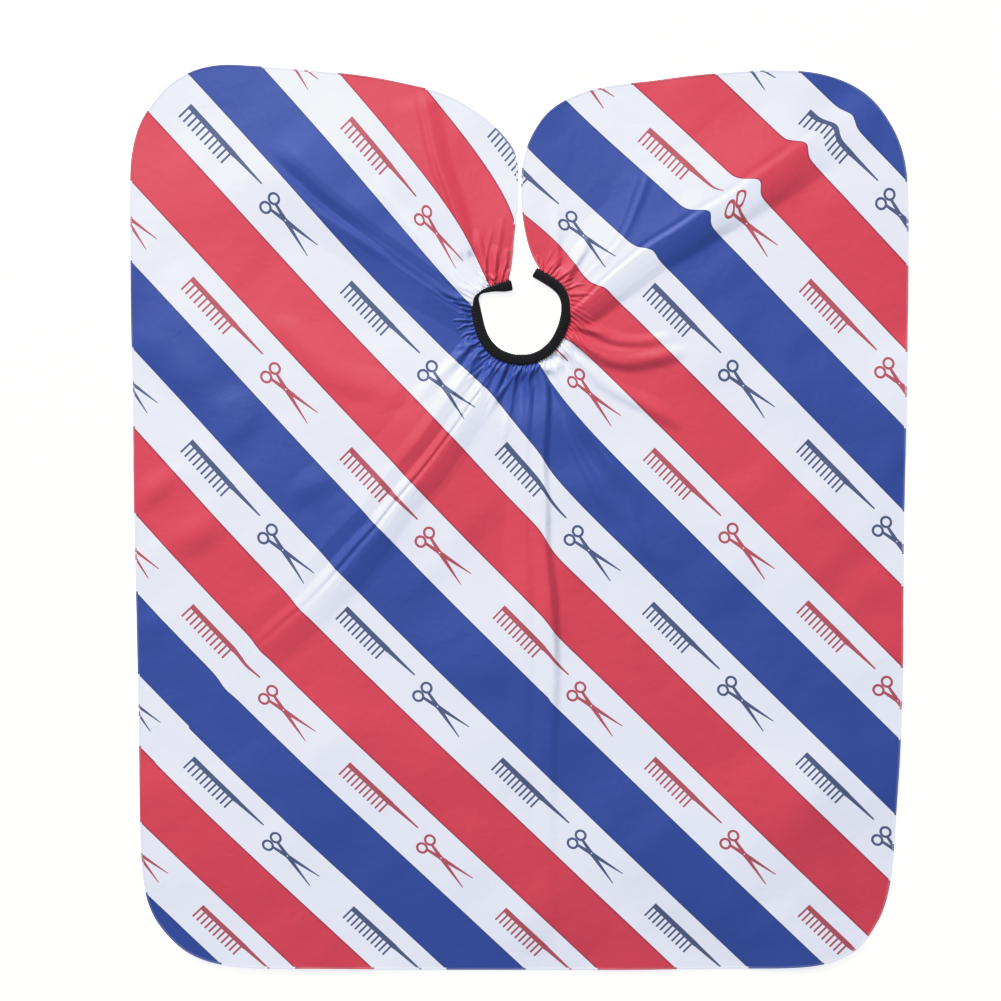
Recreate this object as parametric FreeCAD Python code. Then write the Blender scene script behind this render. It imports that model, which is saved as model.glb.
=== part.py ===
import FreeCAD, Part
import math
import os

os.makedirs("parts", exist_ok=True)
V = FreeCAD.Vector

# Barber cape, laid out flat. Millimetres, +Z up, +Y towards the open slit at the back of the neck.
# Origin: centre of the cape's outline, on the surface that it lies on.

# ---- driving dimensions -------------------------------------------------------------------------
CAPE_WIDTH = 1200.0        # across, side to side
CAPE_LENGTH = 1395.0       # bottom hem to the top of the back lobes
CLOTH_T = 1.6              # stand-in thickness of the laid cloth with its small waves
OVERLOCK_W = 3.5           # width of the overlocked edge
OVERLOCK_T = 2.2           # its height
FOLD_Y = 300.0             # line on which the back flaps fold open, level with the sides of the neck
FOLD_GAP = 0.1             # half of the gap between the panel and the flaps on that line
BIND_HALF_W = 7.0          # half width of the ribbed neck binding
BIND_H = 8.0               # its height, laid flat
BIND_WALL = 1.2            # its cloth wall
GATHER_W = 12.0            # ring of gathered cloth outside the binding
GATHER_H = 5.2             # its height
GATHER2_W = 30.0           # wider ring where the gathers open out
GATHER2_H = 3.0
TONGUE_IN = 5.0            # how far the cloth's edge reaches into the binding
TONGUE_Z = (3.6, 5.2)
ELASTIC_Z = (1.5, 3.2)     # flat elastic inside the binding
STITCH_PITCH = 3.2         # neck seam, stitch to stitch
STITCH_L = 2.3
STITCH_W = 0.5
STITCH_T = 0.35
HOOK_W = 8.0               # sewn-on flat hook under the left end of the binding
HOOK_L = 11.0
HOOK_T = 0.7
HOOK_MOUTH = 1.2
EYE_WIRE_D = 1.0           # wire eye at the right end
EYE_W = 9.5
EYE_OUT = 3.2              # how far the eye's bar stands off the end
EYE_IN = 6.0               # length of its legs inside the binding

# Edge of the cloth, from the left end of the neck binding up the slit, round the left lobe, the left
# side, the hem, the right side and the right lobe, and down the slit to the right end of the binding.
EDGE = [
    (-17.0, 368.2), (-13.1, 385.2), (-10.0, 417.7), (-6.9, 448.5), (-3.4, 477.9), (-2.4, 500.0), (-2.2, 525.7),
    (-3.0, 547.3), (-7.4, 564.3), (-17.8, 581.3), (-40.9, 606.0), (-73.3, 631.0), (-100.0, 646.5), (-130.5, 658.6), (-161.3, 666.0),
    (-210.8, 676.3), (-292.6, 687.1), (-369.8, 693.5), (-422.3, 696.9), (-459.3, 697.5), (-490.2, 692.5),
    (-518.0, 681.5), (-539.6, 667.0), (-556.6, 649.7), (-572.1, 629.2), (-584.4, 608.0), (-592.9, 583.0),
    (-598.3, 553.0), (-600.0, 515.0), (-599.9, 413.0), (-599.1, 289.5), (-596.8, 181.4), (-595.2, 27.0),
    (-591.4, -127.4), (-588.3, -281.8), (-585.9, -420.7), (-582.9, -525.7), (-579.0, -565.9), (-572.1, -595.8),
    (-561.0, -619.9), (-545.8, -640.4), (-527.3, -659.0), (-504.1, -674.7), (-473.2, -686.1), (-439.3, -692.0),
    (-338.9, -695.3), (-184.5, -697.2), (0.8, -697.7), (186.1, -697.2), (340.5, -695.8), (425.0, -694.0),
    (473.2, -687.5), (507.2, -674.0), (528.8, -657.7), (543.2, -638.9), (556.6, -615.8), (566.4, -589.1),
    (573.6, -553.6), (578.2, -507.2), (582.0, -442.0), (585.9, -380.0), (588.3, -325.8), (590.2, -266.3),
    (592.1, -127.4), (595.2, 104.2), (598.3, 266.3), (600.0, 397.6), (599.1, 495.7), (595.2, 542.3),
    (585.4, 579.8), (569.0, 612.2), (546.8, 641.5), (519.6, 663.1), (484.0, 678.4), (451.6, 685.8),
    (410.0, 689.2), (366.7, 689.0), (309.6, 685.3), (247.8, 679.4), (196.1, 673.0), (160.0, 669.2), (121.2, 662.7),
    (88.8, 652.9), (66.7, 641.6), (47.1, 627.7), (31.7, 610.2), (19.3, 589.6), (9.5, 565.9), (4.4, 543.2), (2.6, 521.1),
    (2.5, 500.0), (3.1, 482.0), (5.4, 460.4), (9.5, 437.7), (15.2, 416.1), (22.9, 397.6), (31.7, 383.7),
]

# Centreline of the neck binding from its left end to its right end, with its half width.
BINDING = [
    (-11.6, 360.1, 6.6), (-18.5, 358.9, 6.6), (-25.5, 357.4, 6.4), (-37.8, 354.8, 5.6), (-50.2, 351.3, 5.0),
    (-60.0, 346.7, 4.6), (-66.2, 339.5, 4.7), (-68.0, 328.6, 5.4), (-65.8, 309.6, 6.6), (-60.5, 288.0, 7.0),
    (-51.0, 269.2, 7.0), (-37.1, 254.8, 7.0), (-19.3, 245.8, 7.0), (0.8, 242.6, 7.0), (20.8, 244.8, 7.0),
    (39.4, 253.4, 7.0), (54.0, 267.9, 7.0), (64.8, 287.2, 7.0), (71.0, 308.0, 7.0), (72.4, 327.6, 7.0),
    (68.5, 343.5, 7.0), (59.2, 355.9, 7.0), (46.8, 365.0, 7.0), (34.7, 372.4, 7.0), (23.2, 379.1, 7.0),
]


def spline(points):
    c = Part.BSplineCurve()
    c.interpolate([V(x, y, 0) for x, y in points])
    return c


class Line:
    """A plan curve measured by its length, with points and normals at any place along it."""

    def __init__(self, points, half=None):
        self.curve = spline(points)
        self.length = self.curve.length()
        self.first = self.curve.FirstParameter
        self.half = half
        if half:
            run, self.stations = 0.0, [0.0]
            for a, b in zip(points, points[1:]):
                run += math.dist(a, b)
                self.stations.append(run)
            self.stations = [s * self.length / run for s in self.stations]

    def at(self, s):
        s = min(max(s, 0.0), self.length)
        u = self.curve.parameterAtDistance(s, self.first)
        p = self.curve.value(u)
        t = self.curve.tangent(u)[0]
        return p, t

    def half_at(self, s):
        for (s0, h0), (s1, h1) in zip(zip(self.stations, self.half), zip(self.stations[1:], self.half[1:])):
            if s <= s1:
                f = (s - s0) / (s1 - s0)
                return h0 + (h1 - h0) * f
        return self.half[-1]

    def offset(self, s, d):
        """d to the left of the direction of travel."""
        p, t = self.at(s)
        return (p.x - t.y * d, p.y + t.x * d)


def stations(s0, s1, step):
    n = max(2, int(math.ceil((s1 - s0) / step)))
    return [s0 + (s1 - s0) * i / n for i in range(n + 1)]


def closed_face(*runs):
    """A flat face whose border is the given runs of points, each one smooth, joined end to end."""
    edges = []
    for i, run in enumerate(runs):
        edges.append(spline(run).toShape() if len(run) > 2 else Part.LineSegment(V(*run[0], 0), V(*run[1], 0)).toShape())
        nxt = runs[(i + 1) % len(runs)]
        if math.dist(run[-1], nxt[0]) > 1e-6:
            edges.append(Part.LineSegment(V(*run[-1], 0), V(*nxt[0], 0)).toShape())
    return Part.Face(Part.Wire(Part.__sortEdges__(edges)))


def slab(face, z0, z1):
    f = face.copy()
    f.translate(V(0, 0, z0))
    return f.extrude(V(0, 0, z1 - z0))


def strip(line, a, b, z0, z1, s0=0.0, s1=None, step=9.0):
    """A solid strip along a line between the offsets a and b, which may follow the line's half width."""
    s1 = line.length if s1 is None else s1
    st = stations(s0, s1, step)
    fa = a if callable(a) else (lambda s: a)
    fb = b if callable(b) else (lambda s: b)
    return slab(closed_face([line.offset(s, fa(s)) for s in st], [line.offset(s, fb(s)) for s in reversed(st)]), z0, z1)


def block(x0, x1, y0, y1, z0, z1):
    return Part.makeBox(x1 - x0, y1 - y0, z1 - z0, V(x0, y0, z0))


BIG = 2000.0
REGION = {
    "main": block(-BIG, BIG, -BIG, FOLD_Y - FOLD_GAP, -BIG, BIG),
    "left": block(-BIG, 0.0, FOLD_Y + FOLD_GAP, BIG, -BIG, BIG),
    "right": block(0.0, BIG, FOLD_Y + FOLD_GAP, BIG, -BIG, BIG),
}


def save(name, shape):
    solids = [s for s in shape.Solids if s.Volume > 0.02]
    shape = solids[0] if len(solids) == 1 else Part.makeCompound(solids)
    ok = all(s.isValid() and s.isClosed() for s in solids)
    b = shape.BoundBox
    print("%-22s solids %3d  valid %s  vol %.1f  x %.1f..%.1f  y %.1f..%.1f  z %.2f..%.2f" % (
        name, len(solids), ok, shape.Volume, b.XMin, b.XMax, b.YMin, b.YMax, b.ZMin, b.ZMax))
    shape.exportStep("parts/%s.step" % name)


edge = Line(EDGE)
bind = Line([(x, y) for x, y, h in BINDING], [h for x, y, h in BINDING])
B_END = bind.length
print("binding length %.1f mm, edge length %.1f mm" % (B_END, edge.length))


def outer(extra):
    """Offset on the cloth's side of the binding, which is to the right of the direction of travel."""
    return lambda s: -(bind.half_at(s) + extra)


def inner(inset):
    return lambda s: bind.half_at(s) - inset


# ---- cloth ---------------------------------------------------------------------------------------
es = stations(0.0, edge.length, 11.0)
bs = stations(0.0, B_END, 8.0)
plan = closed_face([edge.offset(s, OVERLOCK_W + 0.05) for s in es], [bind.offset(s, outer(0.3)(s)) for s in reversed(bs)])
cloth = slab(plan, 0.0, CLOTH_T)
near = strip(bind, outer(0.3), outer(0.3 + GATHER_W), 0.0, GATHER_H, 4.0, B_END - 4.0, 8.0)
far = strip(bind, outer(0.3 + GATHER_W - 1.0), outer(0.3 + GATHER2_W), 0.0, GATHER2_H, 78.0, B_END - 58.0, 8.0)
tongue = strip(bind, outer(-TONGUE_IN), outer(1.0), TONGUE_Z[0], TONGUE_Z[1], 16.0, B_END - 9.0, 8.0)
within = slab(closed_face([edge.offset(s, OVERLOCK_W + 0.05) for s in es], [bind.offset(s, bind.half_at(s) - 1.0) for s in reversed(bs)]), 0.0, 20.0)
cloth = cloth.fuse([near.common(within), far.common(within), tongue.common(within)]).removeSplitter()

# ---- overlocked edge -------------------------------------------------------------------------------
overlock = strip(edge, 0.0, OVERLOCK_W, 0.0, OVERLOCK_T, 0.0, None, 11.0)
cloth = cloth.cut(strip(edge, -4.0, OVERLOCK_W + 0.06, -1.0, 20.0, 0.0, None, 11.0))

# ---- ribbed binding, open towards the cloth, with the elastic inside -------------------------------
binding = strip(bind, outer(0.0), inner(0.0), 0.0, BIND_H, 0.0, None, 8.0)
hollow = strip(bind, outer(3.0), inner(BIND_WALL), BIND_WALL, BIND_H - BIND_WALL, BIND_WALL, B_END - BIND_WALL, 8.0)
binding = binding.cut(hollow)
elastic = strip(bind, outer(-2.6), inner(BIND_WALL + 0.4), ELASTIC_Z[0], ELASTIC_Z[1], 18.0, B_END - 9.0, 8.0)

# ---- neck seam: a row of separate stitches on the binding ------------------------------------------
stitches = []
s = 5.0
while s + STITCH_L < B_END - 4.0:
    p, t = bind.at(s + STITCH_L / 2)
    off = -(bind.half_at(s) - 2.0)
    b = Part.makeBox(STITCH_L, STITCH_W, STITCH_T, V(-STITCH_L / 2, -STITCH_W / 2, 0))
    b.rotate(V(0, 0, 0), V(0, 0, 1), math.degrees(math.atan2(t.y, t.x)))
    b.translate(V(p.x - t.y * off, p.y + t.x * off, BIND_H))
    stitches.append(b)
    s += STITCH_PITCH
y_of = lambda b: (b.BoundBox.YMin, b.BoundBox.YMax)
seam = {
    "main": [b for b in stitches if y_of(b)[1] < FOLD_Y - FOLD_GAP],
    "left": [b for b in stitches if y_of(b)[0] > FOLD_Y + FOLD_GAP and b.BoundBox.XMax < 0],
    "right": [b for b in stitches if y_of(b)[0] > FOLD_Y + FOLD_GAP and b.BoundBox.XMin > 0],
}


# ---- closure -----------------------------------------------------------------------------------------
def place(shape, s):
    """From a local frame (X out of the binding's end, Y across, Z up) to the binding's end at s."""
    p, t = bind.at(s)
    left_end = s < B_END / 2
    d = V(-t.x, -t.y, 0) if left_end else V(t.x, t.y, 0)
    out = shape.copy()
    out.rotate(V(0, 0, 0), V(0, 0, 1), math.degrees(math.atan2(d.y, d.x)))
    out.translate(V(p.x, p.y, 0))
    return out


# Flat hook: a plate sewn inside the underside of the binding, bent back on itself below.
bend_r = HOOK_T + HOOK_MOUTH / 2
plate = block(-HOOK_L - 1.5, -1.5 - bend_r, -HOOK_W / 2, HOOK_W / 2, HOOK_T + HOOK_MOUTH, 2 * HOOK_T + HOOK_MOUTH)
tongue_bar = block(-HOOK_L + 3.0, -1.5 - bend_r, -2.2, 2.2, 0.0, HOOK_T)
bend_out = Part.makeCylinder(bend_r, 4.4, V(-1.5 - bend_r, -2.2, bend_r), V(0, 1, 0))
bend_in = Part.makeCylinder(HOOK_MOUTH / 2, 4.4, V(-1.5 - bend_r, -2.2, bend_r), V(0, 1, 0))
bend = bend_out.cut(bend_in).common(block(-1.5 - bend_r, 0.0, -3, 3, -1, 5))
hook = plate.fuse([bend, tongue_bar]).removeSplitter()
for y in (-2.6, 2.6):
    hook = hook.cut(Part.makeCylinder(0.8, 3.0, V(-HOOK_L + 0.8, y, HOOK_T + HOOK_MOUTH - 1), V(0, 0, 1)))
hook_pocket = block(-HOOK_L - 2.0, -1.0, -HOOK_W / 2 - 0.3, HOOK_W / 2 + 0.3, -1.0, 2 * HOOK_T + HOOK_MOUTH + 0.1)
hook_thread = Part.makeCompound([
    block(-HOOK_L + 0.8 - 0.35, -HOOK_L + 0.8 + 0.35, y - 0.35, y + 0.35, HOOK_T + HOOK_MOUTH - 0.4, 2 * HOOK_T + HOOK_MOUTH + 0.1)
    for y in (-2.6, 2.6)])

# Wire eye: two legs held inside the binding's end and a bar across, just off the end.
r = EYE_WIRE_D / 2
eye_z = 2.4
w2 = EYE_W / 2 - r
corner = 1.8
path = Part.Wire([
    Part.LineSegment(V(-EYE_IN, -w2, eye_z), V(EYE_OUT - corner, -w2, eye_z)).toShape(),
    Part.Arc(V(EYE_OUT - corner, -w2, eye_z), V(EYE_OUT - corner + corner * math.sin(math.pi / 4), -w2 + corner - corner * math.cos(math.pi / 4), eye_z), V(EYE_OUT, -w2 + corner, eye_z)).toShape(),
    Part.LineSegment(V(EYE_OUT, -w2 + corner, eye_z), V(EYE_OUT, w2 - corner, eye_z)).toShape(),
    Part.Arc(V(EYE_OUT, w2 - corner, eye_z), V(EYE_OUT - corner + corner * math.sin(math.pi / 4), w2 - corner + corner * math.cos(math.pi / 4), eye_z), V(EYE_OUT - corner, w2, eye_z)).toShape(),
    Part.LineSegment(V(EYE_OUT - corner, w2, eye_z), V(-EYE_IN, w2, eye_z)).toShape(),
])
profile = Part.Wire([Part.Circle(V(-EYE_IN, -w2, eye_z), V(1, 0, 0), r).toShape()])
eye = path.makePipeShell([profile], True, False)
eye_holes = [Part.makeCylinder(r + 0.08, 4.0, V(-3.0, y, eye_z), V(1, 0, 0)) for y in (-w2, w2)]
eye_thread = Part.makeCompound([
    Part.makeCylinder(r + 0.35, 1.6, V(-EYE_IN + 1.2, y, eye_z), V(1, 0, 0)).cut(
        Part.makeCylinder(r + 0.02, 1.6, V(-EYE_IN + 1.2, y, eye_z), V(1, 0, 0))) for y in (-w2, w2)])

binding = binding.cut(place(hook_pocket, 0.0))
for h in eye_holes:
    binding = binding.cut(place(h, B_END))

# ---- pieces --------------------------------------------------------------------------------------------
NAMES = {"main": ("main_panel", "main_edge_overlock", "neck_binding", "neck_elastic", "neck_seam_stitches"),
         "left": ("left_back_panel", "left_edge_overlock", "left_binding_end", "left_elastic_end", "left_seam_stitches"),
         "right": ("right_back_panel", "right_edge_overlock", "right_binding_end", "right_elastic_end", "right_seam_stitches")}
for key, (panel_n, overlock_n, binding_n, elastic_n, stitches_n) in NAMES.items():
    save(panel_n, cloth.common(REGION[key]))
    save(overlock_n, overlock.common(REGION[key]))
    save(binding_n, binding.common(REGION[key]))
    save(elastic_n, elastic.common(REGION[key]))
    save(stitches_n, Part.makeCompound(seam[key]))
save("closure_hook", place(hook, 0.0))
save("hook_stitches", place(hook_thread, 0.0))
save("closure_eye", place(eye, B_END))
save("eye_stitches", place(eye_thread, B_END))
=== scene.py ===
import math

import bmesh
import bpy
import numpy as np
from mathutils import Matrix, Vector
from mathutils.bvhtree import BVHTree


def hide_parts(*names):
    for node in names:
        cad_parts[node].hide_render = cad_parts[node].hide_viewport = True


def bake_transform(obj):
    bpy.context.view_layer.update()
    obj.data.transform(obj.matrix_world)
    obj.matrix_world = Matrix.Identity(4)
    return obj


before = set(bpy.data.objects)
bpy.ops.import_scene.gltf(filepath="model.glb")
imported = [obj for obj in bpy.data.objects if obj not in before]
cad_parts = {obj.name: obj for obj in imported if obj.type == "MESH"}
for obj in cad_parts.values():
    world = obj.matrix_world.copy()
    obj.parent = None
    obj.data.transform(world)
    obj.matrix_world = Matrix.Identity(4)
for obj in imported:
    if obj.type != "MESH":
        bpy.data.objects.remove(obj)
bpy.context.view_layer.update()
RECORD_SLOTS = ("printed_cloth", "edge_thread", "neck_ribbing", "elastic", "black_thread", "closure_steel")

# ---------------------------------------------------------------------------------------------
# Plan of the laid cape, in millimetres: +X to the right, +Y towards the slit, the cloth on Z = 0
# ---------------------------------------------------------------------------------------------
EDGE = [
    (-17.0, 368.2), (-13.1, 385.2), (-10.0, 417.7), (-6.9, 448.5), (-3.4, 477.9), (-2.4, 500.0), (-2.2, 525.7),
    (-3.0, 547.3), (-7.4, 564.3), (-17.8, 581.3), (-40.9, 606.0), (-73.3, 631.0), (-100.0, 646.5), (-130.5, 658.6), (-161.3, 666.0),
    (-210.8, 676.3), (-292.6, 687.1), (-369.8, 693.5), (-422.3, 696.9), (-459.3, 697.5), (-490.2, 692.5),
    (-518.0, 681.5), (-539.6, 667.0), (-556.6, 649.7), (-572.1, 629.2), (-584.4, 608.0), (-592.9, 583.0),
    (-598.3, 553.0), (-600.0, 515.0), (-599.9, 413.0), (-599.1, 289.5), (-596.8, 181.4), (-595.2, 27.0),
    (-591.4, -127.4), (-588.3, -281.8), (-585.9, -420.7), (-582.9, -525.7), (-579.0, -565.9), (-572.1, -595.8),
    (-561.0, -619.9), (-545.8, -640.4), (-527.3, -659.0), (-504.1, -674.7), (-473.2, -686.1), (-439.3, -692.0),
    (-338.9, -695.3), (-184.5, -697.2), (0.8, -697.7), (186.1, -697.2), (340.5, -695.8), (425.0, -694.0),
    (473.2, -687.5), (507.2, -674.0), (528.8, -657.7), (543.2, -638.9), (556.6, -615.8), (566.4, -589.1),
    (573.6, -553.6), (578.2, -507.2), (582.0, -442.0), (585.9, -380.0), (588.3, -325.8), (590.2, -266.3),
    (592.1, -127.4), (595.2, 104.2), (598.3, 266.3), (600.0, 397.6), (599.1, 495.7), (595.2, 542.3),
    (585.4, 579.8), (569.0, 612.2), (546.8, 641.5), (519.6, 663.1), (484.0, 678.4), (451.6, 685.8),
    (410.0, 689.2), (366.7, 689.0), (309.6, 685.3), (247.8, 679.4), (196.1, 673.0), (160.0, 669.2), (121.2, 662.7),
    (88.8, 652.9), (66.7, 641.6), (47.1, 627.7), (31.7, 610.2), (19.3, 589.6), (9.5, 565.9), (4.4, 543.2), (2.6, 521.1),
    (2.5, 500.0), (3.1, 482.0), (5.4, 460.4), (9.5, 437.7), (15.2, 416.1), (22.9, 397.6), (31.7, 383.7),
]
# centre line of the neck binding from the left tail to the right end, with its half width
BINDING = [
    (-11.6, 360.1, 6.6), (-18.5, 358.9, 6.6), (-25.5, 357.4, 6.4), (-37.8, 354.8, 5.6), (-50.2, 351.3, 5.0),
    (-60.0, 346.7, 4.6), (-66.2, 339.5, 4.7), (-68.0, 328.6, 5.4), (-65.8, 309.6, 6.6), (-60.5, 288.0, 7.0),
    (-51.0, 269.2, 7.0), (-37.1, 254.8, 7.0), (-19.3, 245.8, 7.0), (0.8, 242.6, 7.0), (20.8, 244.8, 7.0),
    (39.4, 253.4, 7.0), (54.0, 267.9, 7.0), (64.8, 287.2, 7.0), (71.0, 308.0, 7.0), (72.4, 327.6, 7.0),
    (68.5, 343.5, 7.0), (59.2, 355.9, 7.0), (46.8, 365.0, 7.0), (34.7, 372.4, 7.0), (23.2, 379.1, 7.0),
]
FOLD_Y = 300.0                      # the line that the two back flaps fold on
ROUND, ROWS = 640, 130              # the cloth's grid: round the neck, and from the neck to the hem
CLOTH_T = 0.35
STRIPE = 337.0                      # one repeat of the four stripes, across them
MOTIF = 340.0                       # one repeat of the motifs, along the stripes


class Curve:
    """A smooth plan curve through points, sampled densely and read by arc length."""

    def __init__(self, pts, extra=None, step=0.5):
        p = np.array(pts, float)
        t = np.r_[0, np.cumsum(np.hypot(*np.diff(p, axis=0).T))]
        n = len(p)
        h = np.diff(t)
        A = np.zeros((n, n))
        b = np.zeros((n, 2))
        A[0, 0] = A[-1, -1] = 1
        for i in range(1, n - 1):
            A[i, i - 1], A[i, i], A[i, i + 1] = h[i - 1], 2 * (h[i - 1] + h[i]), h[i]
            b[i] = 6 * ((p[i + 1] - p[i]) / h[i] - (p[i] - p[i - 1]) / h[i - 1])
        m = np.linalg.solve(A, b)
        tt = np.linspace(0, t[-1], max(8, int(t[-1] / step)))
        k = np.clip(np.searchsorted(t, tt, side="right") - 1, 0, n - 2)
        a = (t[k + 1] - tt)[:, None]
        c = (tt - t[k])[:, None]
        hk = h[k][:, None]
        q = (m[k] * a ** 3 + m[k + 1] * c ** 3) / (6 * hk) + (p[k] / hk - m[k] * hk / 6) * a + (p[k + 1] / hk - m[k + 1] * hk / 6) * c
        self.q = q
        self.s = np.r_[0, np.cumsum(np.hypot(*np.diff(q, axis=0).T))]
        self.length = self.s[-1]
        self.extra = None if extra is None else np.interp(tt, t, extra)

    def at(self, s):
        s = np.clip(s, 0, self.length)
        return np.stack([np.interp(s, self.s, self.q[:, 0]), np.interp(s, self.s, self.q[:, 1])], -1)

    def tangent(self, s, d=0.6):
        v = self.at(np.clip(s + d, 0, self.length)) - self.at(np.clip(s - d, 0, self.length))
        return v / np.linalg.norm(v, axis=-1, keepdims=True)

    def value(self, s):
        return np.interp(np.clip(s, 0, self.length), self.s, self.extra)

    def nearest(self, x, y):
        return self.s[np.argmin((self.q[:, 0] - x) ** 2 + (self.q[:, 1] - y) ** 2)]


edge = Curve(EDGE)
bind = Curve([(x, y) for x, y, h in BINDING], [h for x, y, h in BINDING])


def smooth01(t):
    t = np.clip(t, 0, 1)
    return t * t * (3 - 2 * t)


def grid(M, N, k=1.6):
    """Plan positions of the cloth's grid: i round the neck from slit to slit, j from the neck to the hem."""
    sl, sr = edge.nearest(-3.0, 547.3), edge.nearest(4.4, 543.2)
    hem = sr - sl
    marks = [(0, 0)] + [(a, edge.nearest(x, y) - sl) for a, x, y in (
        (14, -90, 641), (40, -330, 690), (62, -556, 650), (80, -600, 400), (103, -597, 181), (150, -591, -160), (183, -555, -630),
        (222, 0.8, -697), (262, 543, -640), (300, 592, -130), (330, 597, 230), (352, 569, 612), (376, 300, 684))] + [(bind.length, hem)]
    ms, mt = np.array(marks, float).T
    ss = np.linspace(0, bind.length, 4000)
    tt = np.interp(ss, ms, mt)
    ker = np.hanning(321)
    ker /= ker.sum()
    d = np.gradient(tt, ss)
    d = np.convolve(np.r_[np.full(160, d[:80].mean()), d, np.full(160, d[-80:].mean())], ker, "valid")
    tt = np.cumsum(d)
    tt = (tt - tt[0]) / (tt[-1] - tt[0]) * hem
    mu = 0.5 * ss / bind.length + 0.5 * tt / hem
    want = np.linspace(0, 1, M + 1)
    s_i, t_i = np.interp(want, mu, ss), np.interp(want, mu, tt)
    tan = bind.tangent(s_i)
    nrm = np.stack([tan[:, 1], -tan[:, 0]], -1)
    inner = bind.at(s_i) + nrm * (bind.value(s_i) - 1.5)[:, None]
    outer = edge.at(sl + t_i)
    f = (np.exp(k * np.arange(N + 1) / N) - 1) / (math.exp(k) - 1)
    P = inner[:, None, :] * (1 - f)[None, :, None] + outer[:, None, :] * f[None, :, None]
    for i0, s0, s1 in ((0, 0.0, sl), (M, edge.length, sr)):      # the slit's edges are curved
        dev = edge.at(np.interp(f, [0, 1], [s0, s1])) - P[i0]
        dev[0] = 0
        w = np.clip(1 - np.abs(np.arange(M + 1) - i0) / 70.0, 0, 1) ** 2
        P += w[:, None, None] * dev[None]
    return P, s_i


def along_line(P, X, Y):
    """Signed distance from a plan polyline, left of travel positive, and the distance travelled along it."""
    P = np.array(P)
    best = np.full(X.shape, 1e9)
    sd = np.zeros(X.shape)
    al = np.zeros(X.shape)
    L = np.r_[0, np.cumsum(np.hypot(*np.diff(P, axis=0).T))]
    for k in range(len(P) - 1):
        a, b = P[k], P[k + 1]
        v = b - a
        ll = v @ v
        rt = math.sqrt(ll)
        tc = np.clip(((X - a[0]) * v[0] + (Y - a[1]) * v[1]) / ll, 0, 1)
        dd = np.hypot(X - a[0] - tc * v[0], Y - a[1] - tc * v[1])
        s = ((X - a[0]) * (-v[1]) + (Y - a[1]) * v[0]) / rt
        u = dd < best
        best = np.where(u, dd, best)
        sd = np.where(u, np.sign(s) * dd, sd)
        al = np.where(u, L[k] + tc * rt, al)
    return sd, al, L[-1]


def dense(P, n=60):
    c = Curve(P, step=3.0)
    return c.at(np.linspace(0, c.length, n))


def tent(u, c):
    """A fold's cross-section: a rounded crest, nearly straight sides and a soft foot; u is 0 at the crest and 1 at the foot."""
    t = np.clip(1 - (np.sqrt(u * u + c * c) - c) / (math.sqrt(1 + c * c) - c), -1, 1)
    e = 0.16
    return np.where(t > e, t, np.where(t > -e, (t + e) ** 2 / (4 * e), 0.0))


def fold(X, Y, P, h, wl, wr, fade0=20, fade1=60, prof=None, crest=0.22, grow=0.25):
    """A fold's height: h over its line, falling away over wl on the left of travel and wr on the right."""
    Q = dense(P)
    k = 1.55
    reach = max(wl, wr) * k * 1.5 + 5
    lo, hi = Q.min(0) - reach, Q.max(0) + reach
    z = np.zeros(X.shape)
    m = (X > lo[0]) & (X < hi[0]) & (Y > lo[1]) & (Y < hi[1])
    sd, al, L = along_line(Q, X[m], Y[m])
    a = np.interp(al / L, np.linspace(0, 1, len(prof)), prof) if prof is not None else 1.0
    wide = (1 - grow) + 2 * grow * al / L
    f = smooth01(al / fade0) * smooth01((L - al) / fade1)
    w = np.where(sd > 0, wl, wr) * k * wide * (0.55 + 0.45 * f)
    z[m] = h * a * tent(np.abs(sd) / w, crest) * f
    return z


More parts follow.
